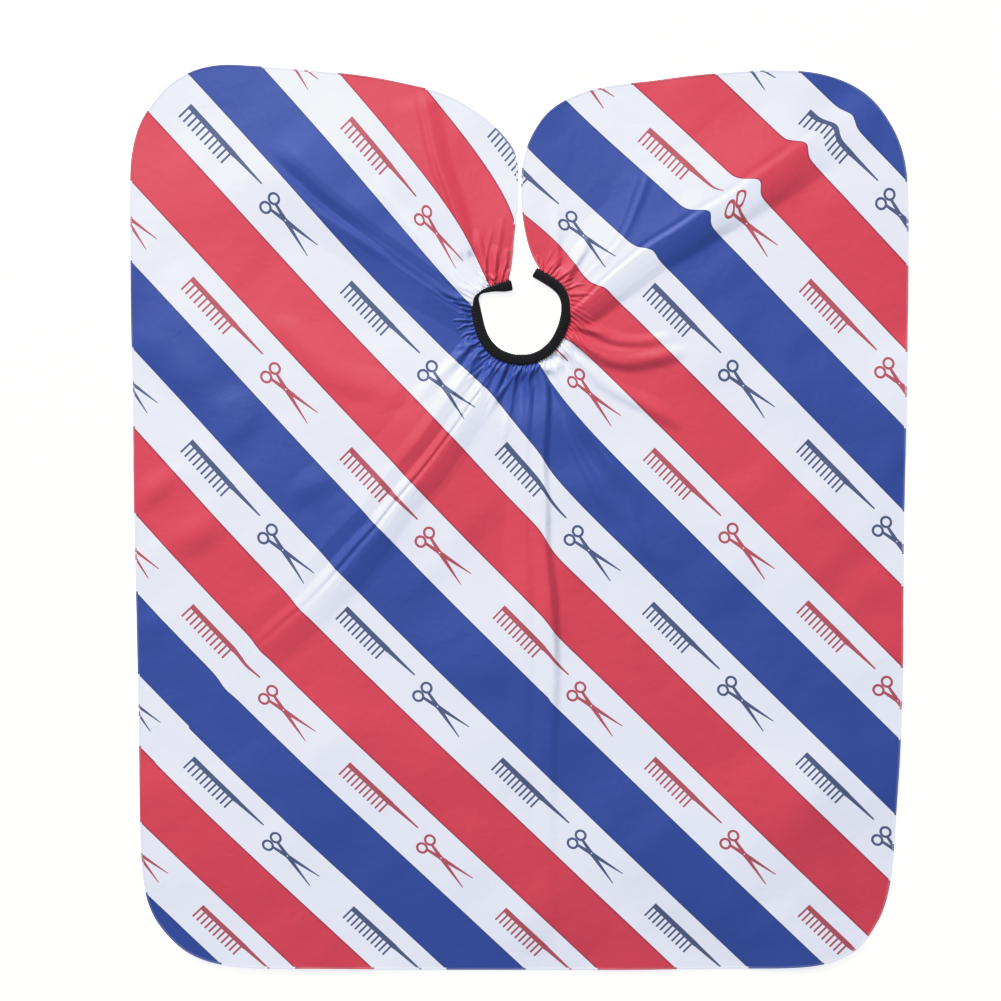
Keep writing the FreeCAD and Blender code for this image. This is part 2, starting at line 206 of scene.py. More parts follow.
# The folds: line in the plan from the neck outwards, height, width on the left and on the right of travel, how fast it
# rises and dies away, and its height along the line
FOLDS = [
    (((63, 354), (81, 385), (98, 413), (112, 441)),5,12,9,8,30,None),
    (((52, 367), (56, 394), (58, 452), (55, 521), (50, 583)),3.0,14,12,8,60,(1,1,0.8,0.7,0.6)),
    (((-70, 322), (-123, 351), (-185, 394), (-239, 432), (-285, 466)),5.0,12,12,8,50,None),
    (((-70, 333), (-113, 382), (-161, 441), (-209, 503), (-246, 552), (-277, 586)),5.0,13,13,8,60,(0.9,1,0.9,0.7,0.5)),
    (((-52, 354), (-56, 394), (-64, 428), (-70, 459)),4.0,9,9,6,40,None),
    (((-36, 361), (-39, 398), (-42, 432)),3.5,8,8,6,30,None),
    (((-24, 365), (-22, 394), (-19, 428)),2.6,7,6,6,30,None),
    (((-59, 262), (-89, 212), (-123, 166), (-157, 120), (-197, 76)),6.5,14,12,10,50,(0.7,0.9,1,0.9)),
    (((-69, 274), (-110, 231), (-147, 194), (-177, 163)),5,12,12,10,50,None),
    (((13, 240), (15, 194), (12, 135), (10, 58), (12, -35), (16, -127), (25, -220)),4.6,10,10,10,90,(0.8,1,0.8,0.6,0.7,0.6,0.4)),
    (((-5, 237), (-10, 197), (-18, 151), (-30, 101)),4.5,10,9,8,50,None),
    (((-21, 240), (-33, 200), (-52, 160)),4.5,8,8,8,40,None),
    (((-35, 246), (-55, 206), (-80, 175)),4.0,8,8,8,40,None),
    # V-fold below right
    (((47, 246), (72, 197), (96, 151), (130, 101), (168, 42)),8.5,15,18,10,26,(0.7,0.9,1,1,0.9)),
    (((66, 178), (81, 120), (109, 61), (155, 15), (177, 27), (186, 73)),5.0,14,12,30,26,(0.4,0.8,1,1,0.9)),
    (((180, 19), (189, -42), (217, -59), (279, -53)),3.5,16,16,16,40,None),
    # right of the neck
    (((72, 282), (112, 256), (163, 240), (229, 252), (279, 256)),6.0,16,14,10,60,None),
    (((80, 302), (124, 283), (201, 271), (263, 290)),4.0,12,12,10,50,None),
    (((63, 268), (101, 231), (152, 194), (209, 166), (263, 120)),5.0,14,14,10,70,None),
    # soft waves at the left
    (((-385, 336), (-339, 266), (-277, 215), (-215, 194), (-166, 163)),5.0,26,20,60,40,None),
    (((-354, 290), (-293, 225), (-228, 178)),2.5,18,16,40,30,None),
    (((-361, 39), (-311, 46), (-277, 67)),6.0,30,18,30,24,None),
    (((-339, -4), (-293, 15), (-259, 39)),2.5,18,14,20,20,None),
    (((-530, -44), (-493, -27), (-453, -10)),5.5,26,22,24,30,None),
    (((-595, 18), (-571, 30), (-552, 58), (-543, 86)),5.0,16,14,10,20,None),
    (((-571, 225), (-537, 212), (-509, 234)),3.0,20,14,20,20,None),
    (((-462, 151), (-444, 175), (-422, 166)),3.5,16,12,16,16,None),
    (((-594, 290), (-555, 256), (-493, 194), (-401, 101)),4.0,40,34,30,60,None),
    (((-598, -189), (-555, -161), (-509, -171)),3.0,26,18,16,30,None),
    # long soft streaks
    (((-586, -266), (-524, -319), (-469, -368), (-416, -424), (-362, -476)),5.0,14,36,50,60,None),
    (((-481, -282), (-459, -266), (-432, -285)),4.0,16,14,16,16,None),
    (((279, -158), (333, -212), (387, -266), (452, -331)),2.6,18,26,50,60,None),
    # right edge
    (((541, 61), (563, 80), (591, 113)),5.0,16,20,16,12,None),
    (((538, 42), (572, 52), (594, 61)),3.0,12,14,16,10,None),
    (((563, -316), (554, -359), (538, -402), (507, -467)),4.2,26,18,16,50,None),
    (((433, 189), (495, 209), (541, 225)),2.2,20,18,30,30,None),
    (((489, -66), (541, -96), (591, -127)),2.6,34,40,40,20,None),
    # packing creases
    (((-571, -10), (-339, -32), (-107, -47), (124, -42), (371, -16), (572, -4)),1.3,10,8,40,40,(0.5,0.4,0.2,0.6,1,1)),
    (((-567, -436), (-339, -445), (-107, -436), (201, -445), (557, -436)),0.7,10,8,40,40,None),
]


def noise(X, Y, cell, seed, aniso=0.0, ang=0.0):
    """Smooth random heights with features of about cell millimetres, longer along ang by aniso."""
    G = np.random.default_rng(seed).standard_normal((64, 64))
    c, s = math.cos(ang), math.sin(ang)
    u = (X * c + Y * s) / (cell * (1 + aniso)) + 20.3
    v = (-X * s + Y * c) / cell + 22.7
    iu, iv = np.floor(u).astype(int), np.floor(v).astype(int)
    fu, fv = u - iu, v - iv

    def w(f):
        return [(1 - f) ** 3 / 6, (3 * f ** 3 - 6 * f ** 2 + 4) / 6, (-3 * f ** 3 + 3 * f ** 2 + 3 * f + 1) / 6, f ** 3 / 6]

    wu, wv = w(fu), w(fv)
    z = np.zeros(X.shape)
    for a in range(4):
        for b in range(4):
            z += wu[a] * wv[b] * G[(iu + a - 1) % 64, (iv + b - 1) % 64]
    return z * 1.6


def ruffles(s_i, r, seed=7):
    """The gathers at the seam, in three sizes: each is a rib that starts at the binding and dies away in the cloth."""
    rng = np.random.default_rng(seed)
    out = np.zeros(r.shape)

    def family(pitch, jit, amp, lmin, lmax, rise, width):
        s = rng.uniform(0, pitch)
        zz = np.zeros(r.shape)
        while s < bind.length:
            a = amp * rng.uniform(0.35, 1.3) * np.interp(s, *GATHER_HEIGHT)
            ln = rng.uniform(lmin, lmax) * np.interp(s, *GATHER_LENGTH)
            w = pitch * width * rng.uniform(0.8, 1.25)
            bendy = rng.uniform(-1, 1) * pitch * 0.9
            m = np.abs(s_i - s) < w * 1.2 + abs(bendy) + 2
            if m.any():
                rr = r[m]
                c = s + bendy * (1 - np.exp(-rr / 40.0))
                ww = w * (1 - 0.35 * (1 - np.exp(-rr / 30.0)))
                u = np.clip(np.abs(s_i[m][:, None] - c) / ww, 0, 1)
                zz[m] = np.maximum(zz[m], a * 0.5 * (1 + np.cos(math.pi * u)) * (1 - np.exp(-rr / rise)) * np.exp(-(rr / ln) ** 1.6))
            s += pitch * rng.uniform(1 - jit, 1 + jit)
        return zz

    for args in ((6.2, 0.35, 5.0, 9, 26, 4.0, 0.5), (14.0, 0.45, 4.4, 22, 58, 7.0, 0.5), (33.0, 0.4, 2.4, 45, 95, 16.0, 0.5)):
        out += family(*args)
    return out


# how strong and how long the gathers are, round the neck in millimetres from the left tail
GATHER_HEIGHT = ((0, 50, 75, 110, 135, 150, 165, 215, 235, 260, 290, 340, 370, 395), (0.5, 0.5, 0.3, 0.45, 0.65, 0.8, 1.05, 1.15, 0.4, 0.5, 1.0, 0.95, 0.75, 0.6))
GATHER_LENGTH = ((0, 50, 90, 125, 145, 160, 210, 240, 290, 330, 360, 395), (0.7, 0.6, 0.8, 0.7, 0.7, 0.95, 1.15, 0.6, 1.0, 0.8, 0.55, 0.5))


# The main creases, each by its measured cross-section: line in the plan from the neck outwards; height; the section as
# (distance, share of the height), left of travel positive; how fast it rises and dies away; its height along the line
CREASES = [
    # right of the neck to the upper right corner: a thin crest over a long fall that ends at a crisp foot
    (((72, 311), (106, 337), (130, 361), (164, 390), (201, 418), (240, 442), (286, 473), (325, 496), (364, 524), (407, 554), (442, 580), (489, 614)), 10.5,
     ((-50, 0), (-45, 0.04), (-40, 0.2), (-31, 0.5), (-20, 0.76), (-9, 0.93), (0, 1.0), (6, 0.74), (12, 0.8), (40, 0.5), (95, 0)), 14, 60, (0.75, 0.85, 1, 1, 1, 0.95, 0.7, 0.2)),
    # its smaller neighbour
    (((81, 348), (118, 388), (151, 419), (169, 450), (183, 484), (194, 515), (201, 546)), 4.6, ((-15, 0), (-10, 0.25), (0, 1), (7, 0.5), (13, 0.62), (20, 0.4), (45, 0)), 20, 40, (0.5, 0.8, 1, 1, 0.7)),
    # left of the neck to the upper left: a valley between two crests
    (((-70, 308), (-96, 327), (-123, 347), (-152, 367), (-180, 387), (-209, 410), (-239, 433), (-269, 455), (-305, 482), (-339, 512), (-373, 543), (-398, 567)), 9.0,
     ((-75, 0), (-42, 0.52), (-25, 0.9), (-15, 0.74), (-3, 0.12), (0, 0.1), (5, 0.5), (11, 0.58), (26, 0.32), (48, 0)), 12, 60, (0.7, 0.8, 0.95, 1, 1, 1, 0.9)),
    # the left lobe
    (((-76, 394), (-86, 428), (-100, 469), (-113, 506), (-126, 543), (-135, 583), (-144, 625), (-154, 660)), 7.0,
     ((-24, 0), (-19, 0.12), (-10, 0.6), (-2, 0.97), (0, 1), (5, 0.5), (8, 0.46), (15, 0.72), (24, 0.5), (50, 0)), 22, 30, (0.9, 1.2, 1.15, 1, 0.9, 0.8)),
    # the long pair of ridges to the lower left with a sharp crease between them
    (((-39, 246), (-52, 212), (-78, 171), (-107, 129), (-135, 92), (-163, 56), (-194, 21), (-223, -15), (-251, -46), (-280, -81), (-320, -123), (-359, -157), (-408, -201), (-466, -257)), 10.0,
     ((-85, 0), (-50, 0.36), (-34, 0.6), (-24, 0.5), (-14, 0.36), (-4, 0.8), (-1.5, 0.72), (0, 0.5), (2, 0.66), (6, 0.86), (13, 0.8), (25, 0.46), (36, 0.1), (44, 0)), 16, 130,
     (0.45, 0.7, 0.95, 1, 0.95, 0.82, 0.6, 0.36, 0.22, 0.12)),
    # straight down from the neck: falls steeply to the right
    (((32, 243), (42, 212), (44, 178), (41, 135), (38, 92), (41, 27), (42, -42), (47, -96), (53, -158), (55, -235), (52, -344), (50, -513), (50, -676)), 9.4,
     ((-60, 0), (-38, 0.42), (-25, 0.34), (-12, 0.8), (-4, 0.92), (-1, 0.86), (6, 0.08), (9, 0)), 12, 60, (0.75, 0.9, 0.9, 0.9, 1, 0.85, 0.5, 0.3, 0.2, 0.14, 0.1)),
    # fine pulls of the left flap towards the binding's tail
    (((-50, 364), (-52, 394), (-47, 428), (-41, 459)), 1.9, ((-6, 0), (0, 1), (3, 0.3), (9, 0)), 4, 36, None),
    (((-42, 364), (-36, 401), (-30, 438), (-25, 475)), 2.0, ((-8, 0), (0, 1), (3, 0.3), (10, 0)), 4, 40, None),
    (((-30, 365), (-22, 385), (-16, 410)), 1.5, ((-5, 0), (0, 1), (3, 0.2), (7, 0)), 4, 20, None),
    (((-59, 351), (-70, 385), (-81, 410), (-90, 441)), 2.2, ((-10, 0), (0, 1), (4, 0.3), (14, 0)), 4, 60, None),
    # beside the neck on the right
    (((76, 283), (109, 266), (155, 256), (209, 259)), 3.2, ((-14, 0), (0, 1), (8, 0.4), (22, 0)), 6, 50, None),
    (((78, 296), (109, 288), (152, 285)), 2.6, ((-12, 0), (0, 1), (5, 0.35), (16, 0)), 6, 40, None),
]


def crease(X, Y, line, h, section, fade0, fade1, along=None):
    Q = dense(line, 90)
    t = np.array([a for a, _ in section], float)
    reach = max(-t[0], t[-1]) * 1.25 + 6
    lo, hi = Q.min(0) - reach, Q.max(0) + reach
    z = np.zeros(X.shape)
    m = (X > lo[0]) & (X < hi[0]) & (Y > lo[1]) & (Y < hi[1])
    sd, al, L = along_line(Q, X[m], Y[m])
    sd = sd + 1.3 * noise(X[m], Y[m], 46, 61) * np.clip(np.abs(sd) / 6, 0.25, 1)
    f = smooth01(al / fade0) * smooth01((L - al) / fade1)
    a = np.interp(al / L, np.linspace(0, 1, len(along)), along) if along is not None else 1.0
    fine = np.arange(t[0] - 4, t[-1] + 4, 0.25)
    v = np.interp(fine, t, [b for _, b in section])
    ker = np.hanning(15)
    v = np.convolve(v, ker / ker.sum(), "same")
    wide = 0.72 + 0.28 * smooth01(al / 120) + 0.22 * smooth01((al - 160) / 300)    # narrower where the gathers hold it
    z[m] = h * a * f * np.interp(sd / wide, fine, v) * (1 + 0.10 * noise(X[m], Y[m], 70, 63))
    return z


def finer(A, m, n):
    """The grid A read at m by n evenly spaced places, by a smooth curve through its points."""
    def one(A, k):
        c = A.shape[0] - 1
        u = np.linspace(0, c, k)
        i = np.clip(np.floor(u).astype(int), 0, c - 1)
        f = (u - i).reshape((-1,) + (1,) * (A.ndim - 1))
        p0, p1, p2, p3 = A[np.maximum(i - 1, 0)], A[i], A[i + 1], A[np.minimum(i + 2, c)]
        return 0.5 * (2 * p1 + (p2 - p0) * f + (2 * p0 - 5 * p1 + 4 * p2 - p3) * f * f + (3 * p1 - p0 - 3 * p2 + p3) * f ** 3)

    return one(one(A, m).swapaxes(0, 1), n).swapaxes(0, 1)



def first_shape(P, s_i):
    """Where the cloth starts: the folds and gathers laid roughly in place."""
    X, Y = P[..., 0], P[..., 1]
    r = np.hypot(P[..., 0] - P[:, :1, 0], P[..., 1] - P[:, :1, 1])
    acc = np.zeros(X.shape)
    for f in FOLDS:
        acc = (acc ** 2.6 + fold(X, Y, *f) ** 2.6) ** (1 / 2.6)      # neighbouring folds run into one another
    z = acc * (1 - 0.8 * np.exp(-r / 9.0))
    z += ruffles(s_i, r) * (1 - 0.45 * np.clip(acc / 12, 0, 1))
    z += 2.2 * np.exp(-r / 14.0)
    return z, r


def slack(X, Y):
    """How far each point of the flat cloth lies from its laid place: a fold holds cloth, so the cut cloth is wider there."""
    D = np.zeros(X.shape + (2,))
    for fd in FOLDS:
        P, h, wl, wr = fd[:4]
        prof = fd[6] if len(fd) > 6 else None
        Q = dense(P, 40)
        sd, al, L = along_line(Q, X, Y)
        a = np.interp(al / L, np.linspace(0, 1, len(prof)), prof) if prof is not None else 1.0
        k = 1.3
        e = 1.15 * (h * a) ** 2 / ((wl + wr) * k) * 1.6
        f = smooth01(al / fd[4]) * smooth01((L - al) / max(fd[5], 1))
        t = np.gradient(Q, axis=0)
        t /= np.linalg.norm(t, axis=1, keepdims=True)
        i = np.clip((al / L * (len(Q) - 1)).astype(int), 0, len(Q) - 1)
        n = np.stack([-t[i][..., 1], t[i][..., 0]], -1)
        D += n * (0.5 * e * f * np.tanh(sd / (0.45 * (wl + wr) / 2 * k)) * np.exp(-(sd / 240.0) ** 2))[..., None]
    return D


def settle(P3, R3, r, steps, fall, bend, gather, hold_in=0.003, hold_out=0.06, floor=0.3, pinned=2, shear=0.35):
    """Cloth simulation by position based dynamics on the grid: the sheet keeps its flat lengths, resists bending, falls
    and lies on the floor, sewn to the binding at its inner rows."""
    P = np.ascontiguousarray(P3.transpose(2, 0, 1)).astype(np.float32)
    home = P.copy()
    R = np.ascontiguousarray(R3.transpose(2, 0, 1)).astype(np.float32)

    def ln(d):
        return np.sqrt(np.einsum("kij,kij->ij", d, d))

    Li, Lj = ln(R[:, 1:] - R[:, :-1]), ln(R[:, :, 1:] - R[:, :, :-1])
    L1, L2 = ln(R[:, 1:, 1:] - R[:, :-1, :-1]), ln(R[:, 1:, :-1] - R[:, :-1, 1:])
    Gi = 0.5 * (gather[1:] + gather[:-1])
    Gd, La = 0.5 * (Gi[:, 1:] + Gi[:, :-1]), 0.5 * (Li[:, 1:] + Li[:, :-1])
    L1, L2 = (np.sqrt(np.maximum(L ** 2 + La ** 2 * (Gd ** 2 - 1), 1e-6)).astype(np.float32) for L in (L1, L2))
    Li = (Li * Gi).astype(np.float32)
    hold = np.full(P.shape[1:], hold_in, np.float32)
    hold[:, -1] = hold[0] = hold[-1] = hold_out
    amount = np.array([0.3, 0.3, 1.0], np.float32)[:, None, None] * bend

    def keep(A, B, L, k):
        d = B - A
        l = ln(d) + 1e-6
        d *= (0.5 * k * (l - L) / l)[None]
        A += d
        B -= d

    for _ in range(steps):
        P[2] -= fall
        for o in (0, 1):
            n = (P.shape[1] - 1 - o) // 2
            keep(P[:, o:o + 2 * n:2], P[:, o + 1:o + 1 + 2 * n:2], Li[o:o + 2 * n:2], 1.0)
        for o in (0, 1):
            n = (P.shape[2] - 1 - o) // 2
            keep(P[:, :, o:o + 2 * n:2], P[:, :, o + 1:o + 1 + 2 * n:2], Lj[:, o:o + 2 * n:2], 1.0)
        for o in (0, 1):
            n = (P.shape[1] - 1 - o) // 2
            keep(P[:, o:o + 2 * n:2, :-1], P[:, o + 1:o + 1 + 2 * n:2, 1:], L1[o:o + 2 * n:2], shear)
            keep(P[:, o:o + 2 * n:2, 1:], P[:, o + 1:o + 1 + 2 * n:2, :-1], L2[o:o + 2 * n:2], shear)
        c = np.zeros_like(P)
        c[:, 1:-1] = P[:, 2:] + P[:, :-2] - 2 * P[:, 1:-1]
        b = np.zeros_like(P)
        b[:, 1:-1] = c[:, 2:] + c[:, :-2] - 2 * c[:, 1:-1]
        c = np.zeros_like(P)
        c[:, :, 1:-1] = P[:, :, 2:] + P[:, :, :-2] - 2 * P[:, :, 1:-1]
        b[:, :, 1:-1] += c[:, :, 2:] + c[:, :, :-2] - 2 * c[:, :, 1:-1]
        P -= amount * b
        P[2] = np.maximum(P[2], floor)
        P[:2] += hold[None] * (home[:2] - P[:2])
        P[:, :, :pinned] = home[:, :, :pinned]
    return P.transpose(1, 2, 0).astype(float)


def lay_cloth():
    P2, s_i = grid(ROUND, ROWS)
    z, r = first_shape(P2, s_i)
    z = np.minimum(z, 16.0)
    P3 = np.concatenate([P2, z[..., None]], -1)
    centre = np.array([0.0, 300.0])
    flat = P2 + slack(P2[..., 0], P2[..., 1])
    flat = centre + (flat - centre) * 1.003
    R3 = np.concatenate([flat, np.zeros(flat.shape[:2] + (1,))], -1)
    gl = np.interp(s_i, *GATHER_LENGTH)[:, None]
    gather = 1 + 0.40 * np.exp(-r / (15 * gl)) + 0.07 * np.exp(-r / (55 * gl)) + 0.012 * np.exp(-r / 220)
    P = settle(P3, R3, r, 420, 0.0025, 0.02, gather)
    # the finished cloth is read from the simulated grid more finely, and then takes its crisp creases
    P = finer(P, FINE[0] + 1, FINE[1] + 1)
    P[..., 2] = np.maximum(P[..., 2], 0.3)
    flat = finer(flat, FINE[0] + 1, FINE[1] + 1)
    r = finer(r, FINE[0] + 1, FINE[1] + 1)
    X, Y = P[..., 0], P[..., 1]
    # soft unevenness of a sheet that lies loosely: broad swells and fine dents
    wx, wy = X + 22 * noise(X, Y, 150, 21), Y + 22 * noise(X, Y, 150, 22)
    swell = SWELL[0] * noise(wx, wy, 170, 3) + SWELL[1] * noise(wx, wy, 78, 5, 0.8, 2.3) + SWELL[2] * noise(wx, wy, 34, 9, 0.9, 0.7)
    swell = (np.sqrt((swell + 1.2) ** 2 + 1.2) + (swell + 1.2)) * 0.5 * smooth01((r - 15) / 90)
    P[..., 2] += swell * (1 - np.clip(P[..., 2] / 12.0, 0, 1))
    total = np.zeros(X.shape)
    for c in CREASES:
        total = (total ** 2 + crease(X, Y, *c) ** 2) ** 0.5
    P[..., 2] = P[..., 2] * (1 - 0.45 * np.clip(total / 9.0, 0, 1)) + total
    over = np.maximum(P[..., 2] - 14.0, 0)
    P[..., 2] -= over - 3.2 * (1 - np.exp(-over / 3.2))
    return P, flat, r


SWELL = (3.2, 2.6, 0.85)
FINE = (900, 184)
cloth, flat, reach = lay_cloth()

# ---------------------------------------------------------------------------------------------
# How the printed stripes run on the laid cloth
# ---------------------------------------------------------------------------------------------
STRIPE_PLAN = (-0.07522, 1.26804, 1.45034)
STRIPE_BOW = (
    -0.14952, -0.09239, -0.02741, 0.01349, 0.02501, 0.02793, -0.00288, -0.05393, -0.12406, -0.05553, 0.05427, 0.0852,
    0.0462, 0.03267, -0.01689, -0.05947, -0.0905, -0.00876, 0.08293, 0.11281, 0.07431, 0.02585, -0.01741, -0.0386,
    -0.06663, 0.00295, 0.05375, 0.07156, 0.08236, 0.10032, 0.07863, 0.00853, -0.05194, 0.01063, 0.04918, 0.06676,
    0.0523, 0.03262, 0.0083, -0.01677, -0.03808, 0.00419, 0.04306, 0.03902, 0.03131, 0.01154, -0.09004, -0.11392,
    -0.01621, 0.01537, 0.03989, 0.03867, 0.02887, -0.01103, -0.10919, -0.19933)
STRIPE_FOLD = (
    0.01032, -0.01022, 0.01463, -0.01291, 0.01043, -0.05019, 0.01127, -0.05565, -0.00372, -0.02337, -0.00066, 0.0005,
    0.00115, 0.0023, 0.00446, 0.00899, 0.00094, 0.00052, 0.01585, -0.00262, 0.00256, -0.00361)
STRIPE_ROUND = (
    0.08017, 0.01, 0.03283, 0.00219, -0.04821, -0.0223, 0.07148, 0.00664, 0.05368, 0.02479, -0.02444, -0.01781,
    0.06659, -0.02265, 0.04052, 0.01399, -0.02928, -0.00881, -0.00088, 0.00786, 0.04998, -0.01073, -0.02061, 0.00131,
    0.02375, 0.00643, -0.02269, -0.03506, 0.0214, 0.00013)
STRIPE_LINES = (   # the three folds that the stripes jog over: line, half width, number of terms along it
    (((71.8, 308.0), (124.3, 352.8), (198.4, 411.5), (289.5, 471.7), (365.2, 518.0), (437.7, 575.2), (510.3, 616.8)), 25, 5),
    (((-53.3, 216.9), (-111.9, 149.0), (-170.6, 68.7), (-280.2, -68.7), (-359.0, -156.7), (-467.1, -275.6)), 30, 3),
    (((31.7, 220.0), (40.9, 158.3), (37.8, 88.8), (40.9, -34.7), (45.5, -142.8), (45.5, -266.3)), 22, 3),
)
MOTIF_RUN = (-6.13, 439.81, -489.57, 12.79, -6.4, 17.03, -11.92, 9.92, -1.1, -0.44)


def stripe_phase(X, Y):
    def b3(t):
        a = np.abs(t)
        return np.where(a < 1, 2 / 3 - a ** 2 + a ** 3 / 2, np.where(a < 2, (2 - a) ** 3 / 6, 0))

    ph = STRIPE_PLAN[0] + STRIPE_PLAN[1] * X / 600 + STRIPE_PLAN[2] * Y / 700
    gx, gy = np.linspace(-610, 610, 5), np.linspace(-710, 710, 6)
    hx, hy = gx[1] - gx[0], gy[1] - gy[0]
    cx, cy = np.r_[gx[0] - hx, gx, gx[-1] + hx], np.r_[gy[0] - hy, gy, gy[-1] + hy]
    co = np.array(STRIPE_BOW).reshape(len(cx), len(cy))
    for i in range(len(cx)):
        bx = b3((X - cx[i]) / hx)
        for j in range(len(cy)):
            ph = ph + co[i, j] * bx * b3((Y - cy[j]) / hy)
    k = 0
    for line, W, nh in STRIPE_LINES:
        sd, al, L = along_line(line, X, Y)
        for q in range(nh):
            hat = np.clip(1 - np.abs(al / L - q / (nh - 1)) * (nh - 1), 0, 1)
            ph = ph + STRIPE_FOLD[k] * hat * np.tanh(sd / (W * 0.5)) * np.exp(-(sd / (4.5 * W)) ** 2)
            ph = ph + STRIPE_FOLD[k + 1] * hat * np.exp(-(sd / (W * 0.6)) ** 2)
            k += 2
    th = np.mod(np.arctan2(-X, Y - 305), 2 * math.pi)
    r = np.hypot(X, Y - 305)
    k = 0
    for n, lams in ((0.5, (50, 150, 400)), (1.5, (50, 150, 400)), (2.5, (50, 150, 400)), (1, (50, 130)), (2, (50, 130)), (3, (50, 130))):
        for lam in lams:
            e = np.exp(-(r - 70) / lam)
            ph = ph + (STRIPE_ROUND[k] * np.cos(n * th) + STRIPE_ROUND[k + 1] * np.sin(n * th)) * e
            k += 2
    return ph


def motif_run(X, Y):
    x, y = X / 600, Y / 700
    c = MOTIF_RUN
    return c[0] + c[1] * x + c[2] * y + c[3] * x * x + c[4] * x * y + c[5] * y * y + c[6] * x ** 3 + c[7] * x * x * y + c[8] * x * y * y + c[9] * y ** 3


def print_uv(X, Y, left):
    """(along, across) of the print at plan points; left says which side of the slit each one is on."""
    Xs = np.where(Y > 305, np.where(left, np.minimum(X, -0.5), np.maximum(X, 0.5)), X)
    return np.stack([motif_run(X, Y) / MOTIF, stripe_phase(Xs, Y)], -1)


# ---------------------------------------------------------------------------------------------
# Materials
# ---------------------------------------------------------------------------------------------
def lin(r, g, b):
    return tuple(v / 12.92 if v <= 0.04045 else ((v + 0.055) / 1.055) ** 2.4 for v in (r / 255, g / 255, b / 255))


class Shader:
    """A node tree written as expressions."""

    def __init__(self, name):
        self.mat = bpy.data.materials.new(name)
        self.mat.use_nodes = True
        self.tree = self.mat.node_tree
        self.tree.nodes.clear()

    def node(self, kind, **settings):
        n = self.tree.nodes.new(kind)
        for k, v in settings.items():
            setattr(n, k, v)
        return n

    def put(self, socket, value):
        if isinstance(value, bpy.types.NodeSocket):
            self.tree.links.new(value, socket)
        elif isinstance(value, (tuple, list)) and len(value) == 3 and socket.type == "RGBA":
            socket.default_value = (*value, 1.0)
        else:
            socket.default_value = value

    def math(self, op, a, b=None, c=None, clamp=False):
        n = self.node("ShaderNodeMath", operation=op, use_clamp=clamp)
        for i, v in enumerate((a, b, c)):
            if v is not None:
                self.put(n.inputs[i], v)
        return n.outputs[0]

    def add(self, a, b):
        return self.math("ADD", a, b)

    def sub(self, a, b):
        return self.math("SUBTRACT", a, b)

    def mul(self, a, b):
        return self.math("MULTIPLY", a, b)

    def top(self, *v):
        out = v[0]
        for x in v[1:]:
            out = self.math("MAXIMUM", out, x)
        return out

    def step(self, x, at, soft):
        """0 below at, 1 above it, over a width of soft."""
        n = self.node("ShaderNodeMapRange", interpolation_type="SMOOTHSTEP", clamp=True)
        self.put(n.inputs["Value"], x)
        self.put(n.inputs["From Min"], at - soft / 2)
        self.put(n.inputs["From Max"], at + soft / 2)
        return n.outputs["Result"]

    def span(self, x, lo, hi, soft):
        return self.mul(self.step(x, lo, soft), self.sub(1.0, self.step(x, hi, soft)))

    def remap(self, x, a, b, c, d):
        n = self.node("ShaderNodeMapRange", clamp=True)
        for k, v in zip(("Value", "From Min", "From Max", "To Min", "To Max"), (x, a, b, c, d)):
            self.put(n.inputs[k], v)
        return n.outputs["Result"]

    def mix(self, f, a, b, mode="MIX"):
        n = self.node("ShaderNodeMix", data_type="RGBA", blend_type=mode)
        self.put(n.inputs[0], f)
        self.put(n.inputs[6], a)
        self.put(n.inputs[7], b)
        return n.outputs[2]

    def uv(self, name):
        n = self.node("ShaderNodeUVMap", uv_map=name)
        s = self.node("ShaderNodeSeparateXYZ")
        self.tree.links.new(n.outputs[0], s.inputs[0])
        return s.outputs[0], s.outputs[1], n.outputs[0]

    def texture(self, kind, vector, scale, **inputs):
        n = self.node(kind)
        self.put(n.inputs["Vector"], vector)
        self.put(n.inputs["Scale"], scale)
        for k, v in inputs.items():
            self.put(n.inputs[k.replace("_", " ")], v)
        return n

    def bump(self, height, distance, strength=1.0, normal=None):
        n = self.node("ShaderNodeBump")
        self.put(n.inputs["Height"], height)
        self.put(n.inputs["Distance"], distance)
        self.put(n.inputs["Strength"], strength)
        if normal is not None:
            self.put(n.inputs["Normal"], normal)
        return n.outputs[0]

    def finish(self, **inputs):
        p = self.node("ShaderNodeBsdfPrincipled")
        for k, v in inputs.items():
            self.put(p.inputs[k.replace("_", " ")], v)
        out = self.node("ShaderNodeOutputMaterial")
        self.tree.links.new(p.outputs[0], out.inputs[0])
        return self.mat


WHITE = lin(236, 241, 255)
RED = lin(213, 70, 93)
BLUE = lin(51, 79, 167)
INK_BLUE = lin(48, 68, 122)
INK_RED = lin(180, 58, 78)


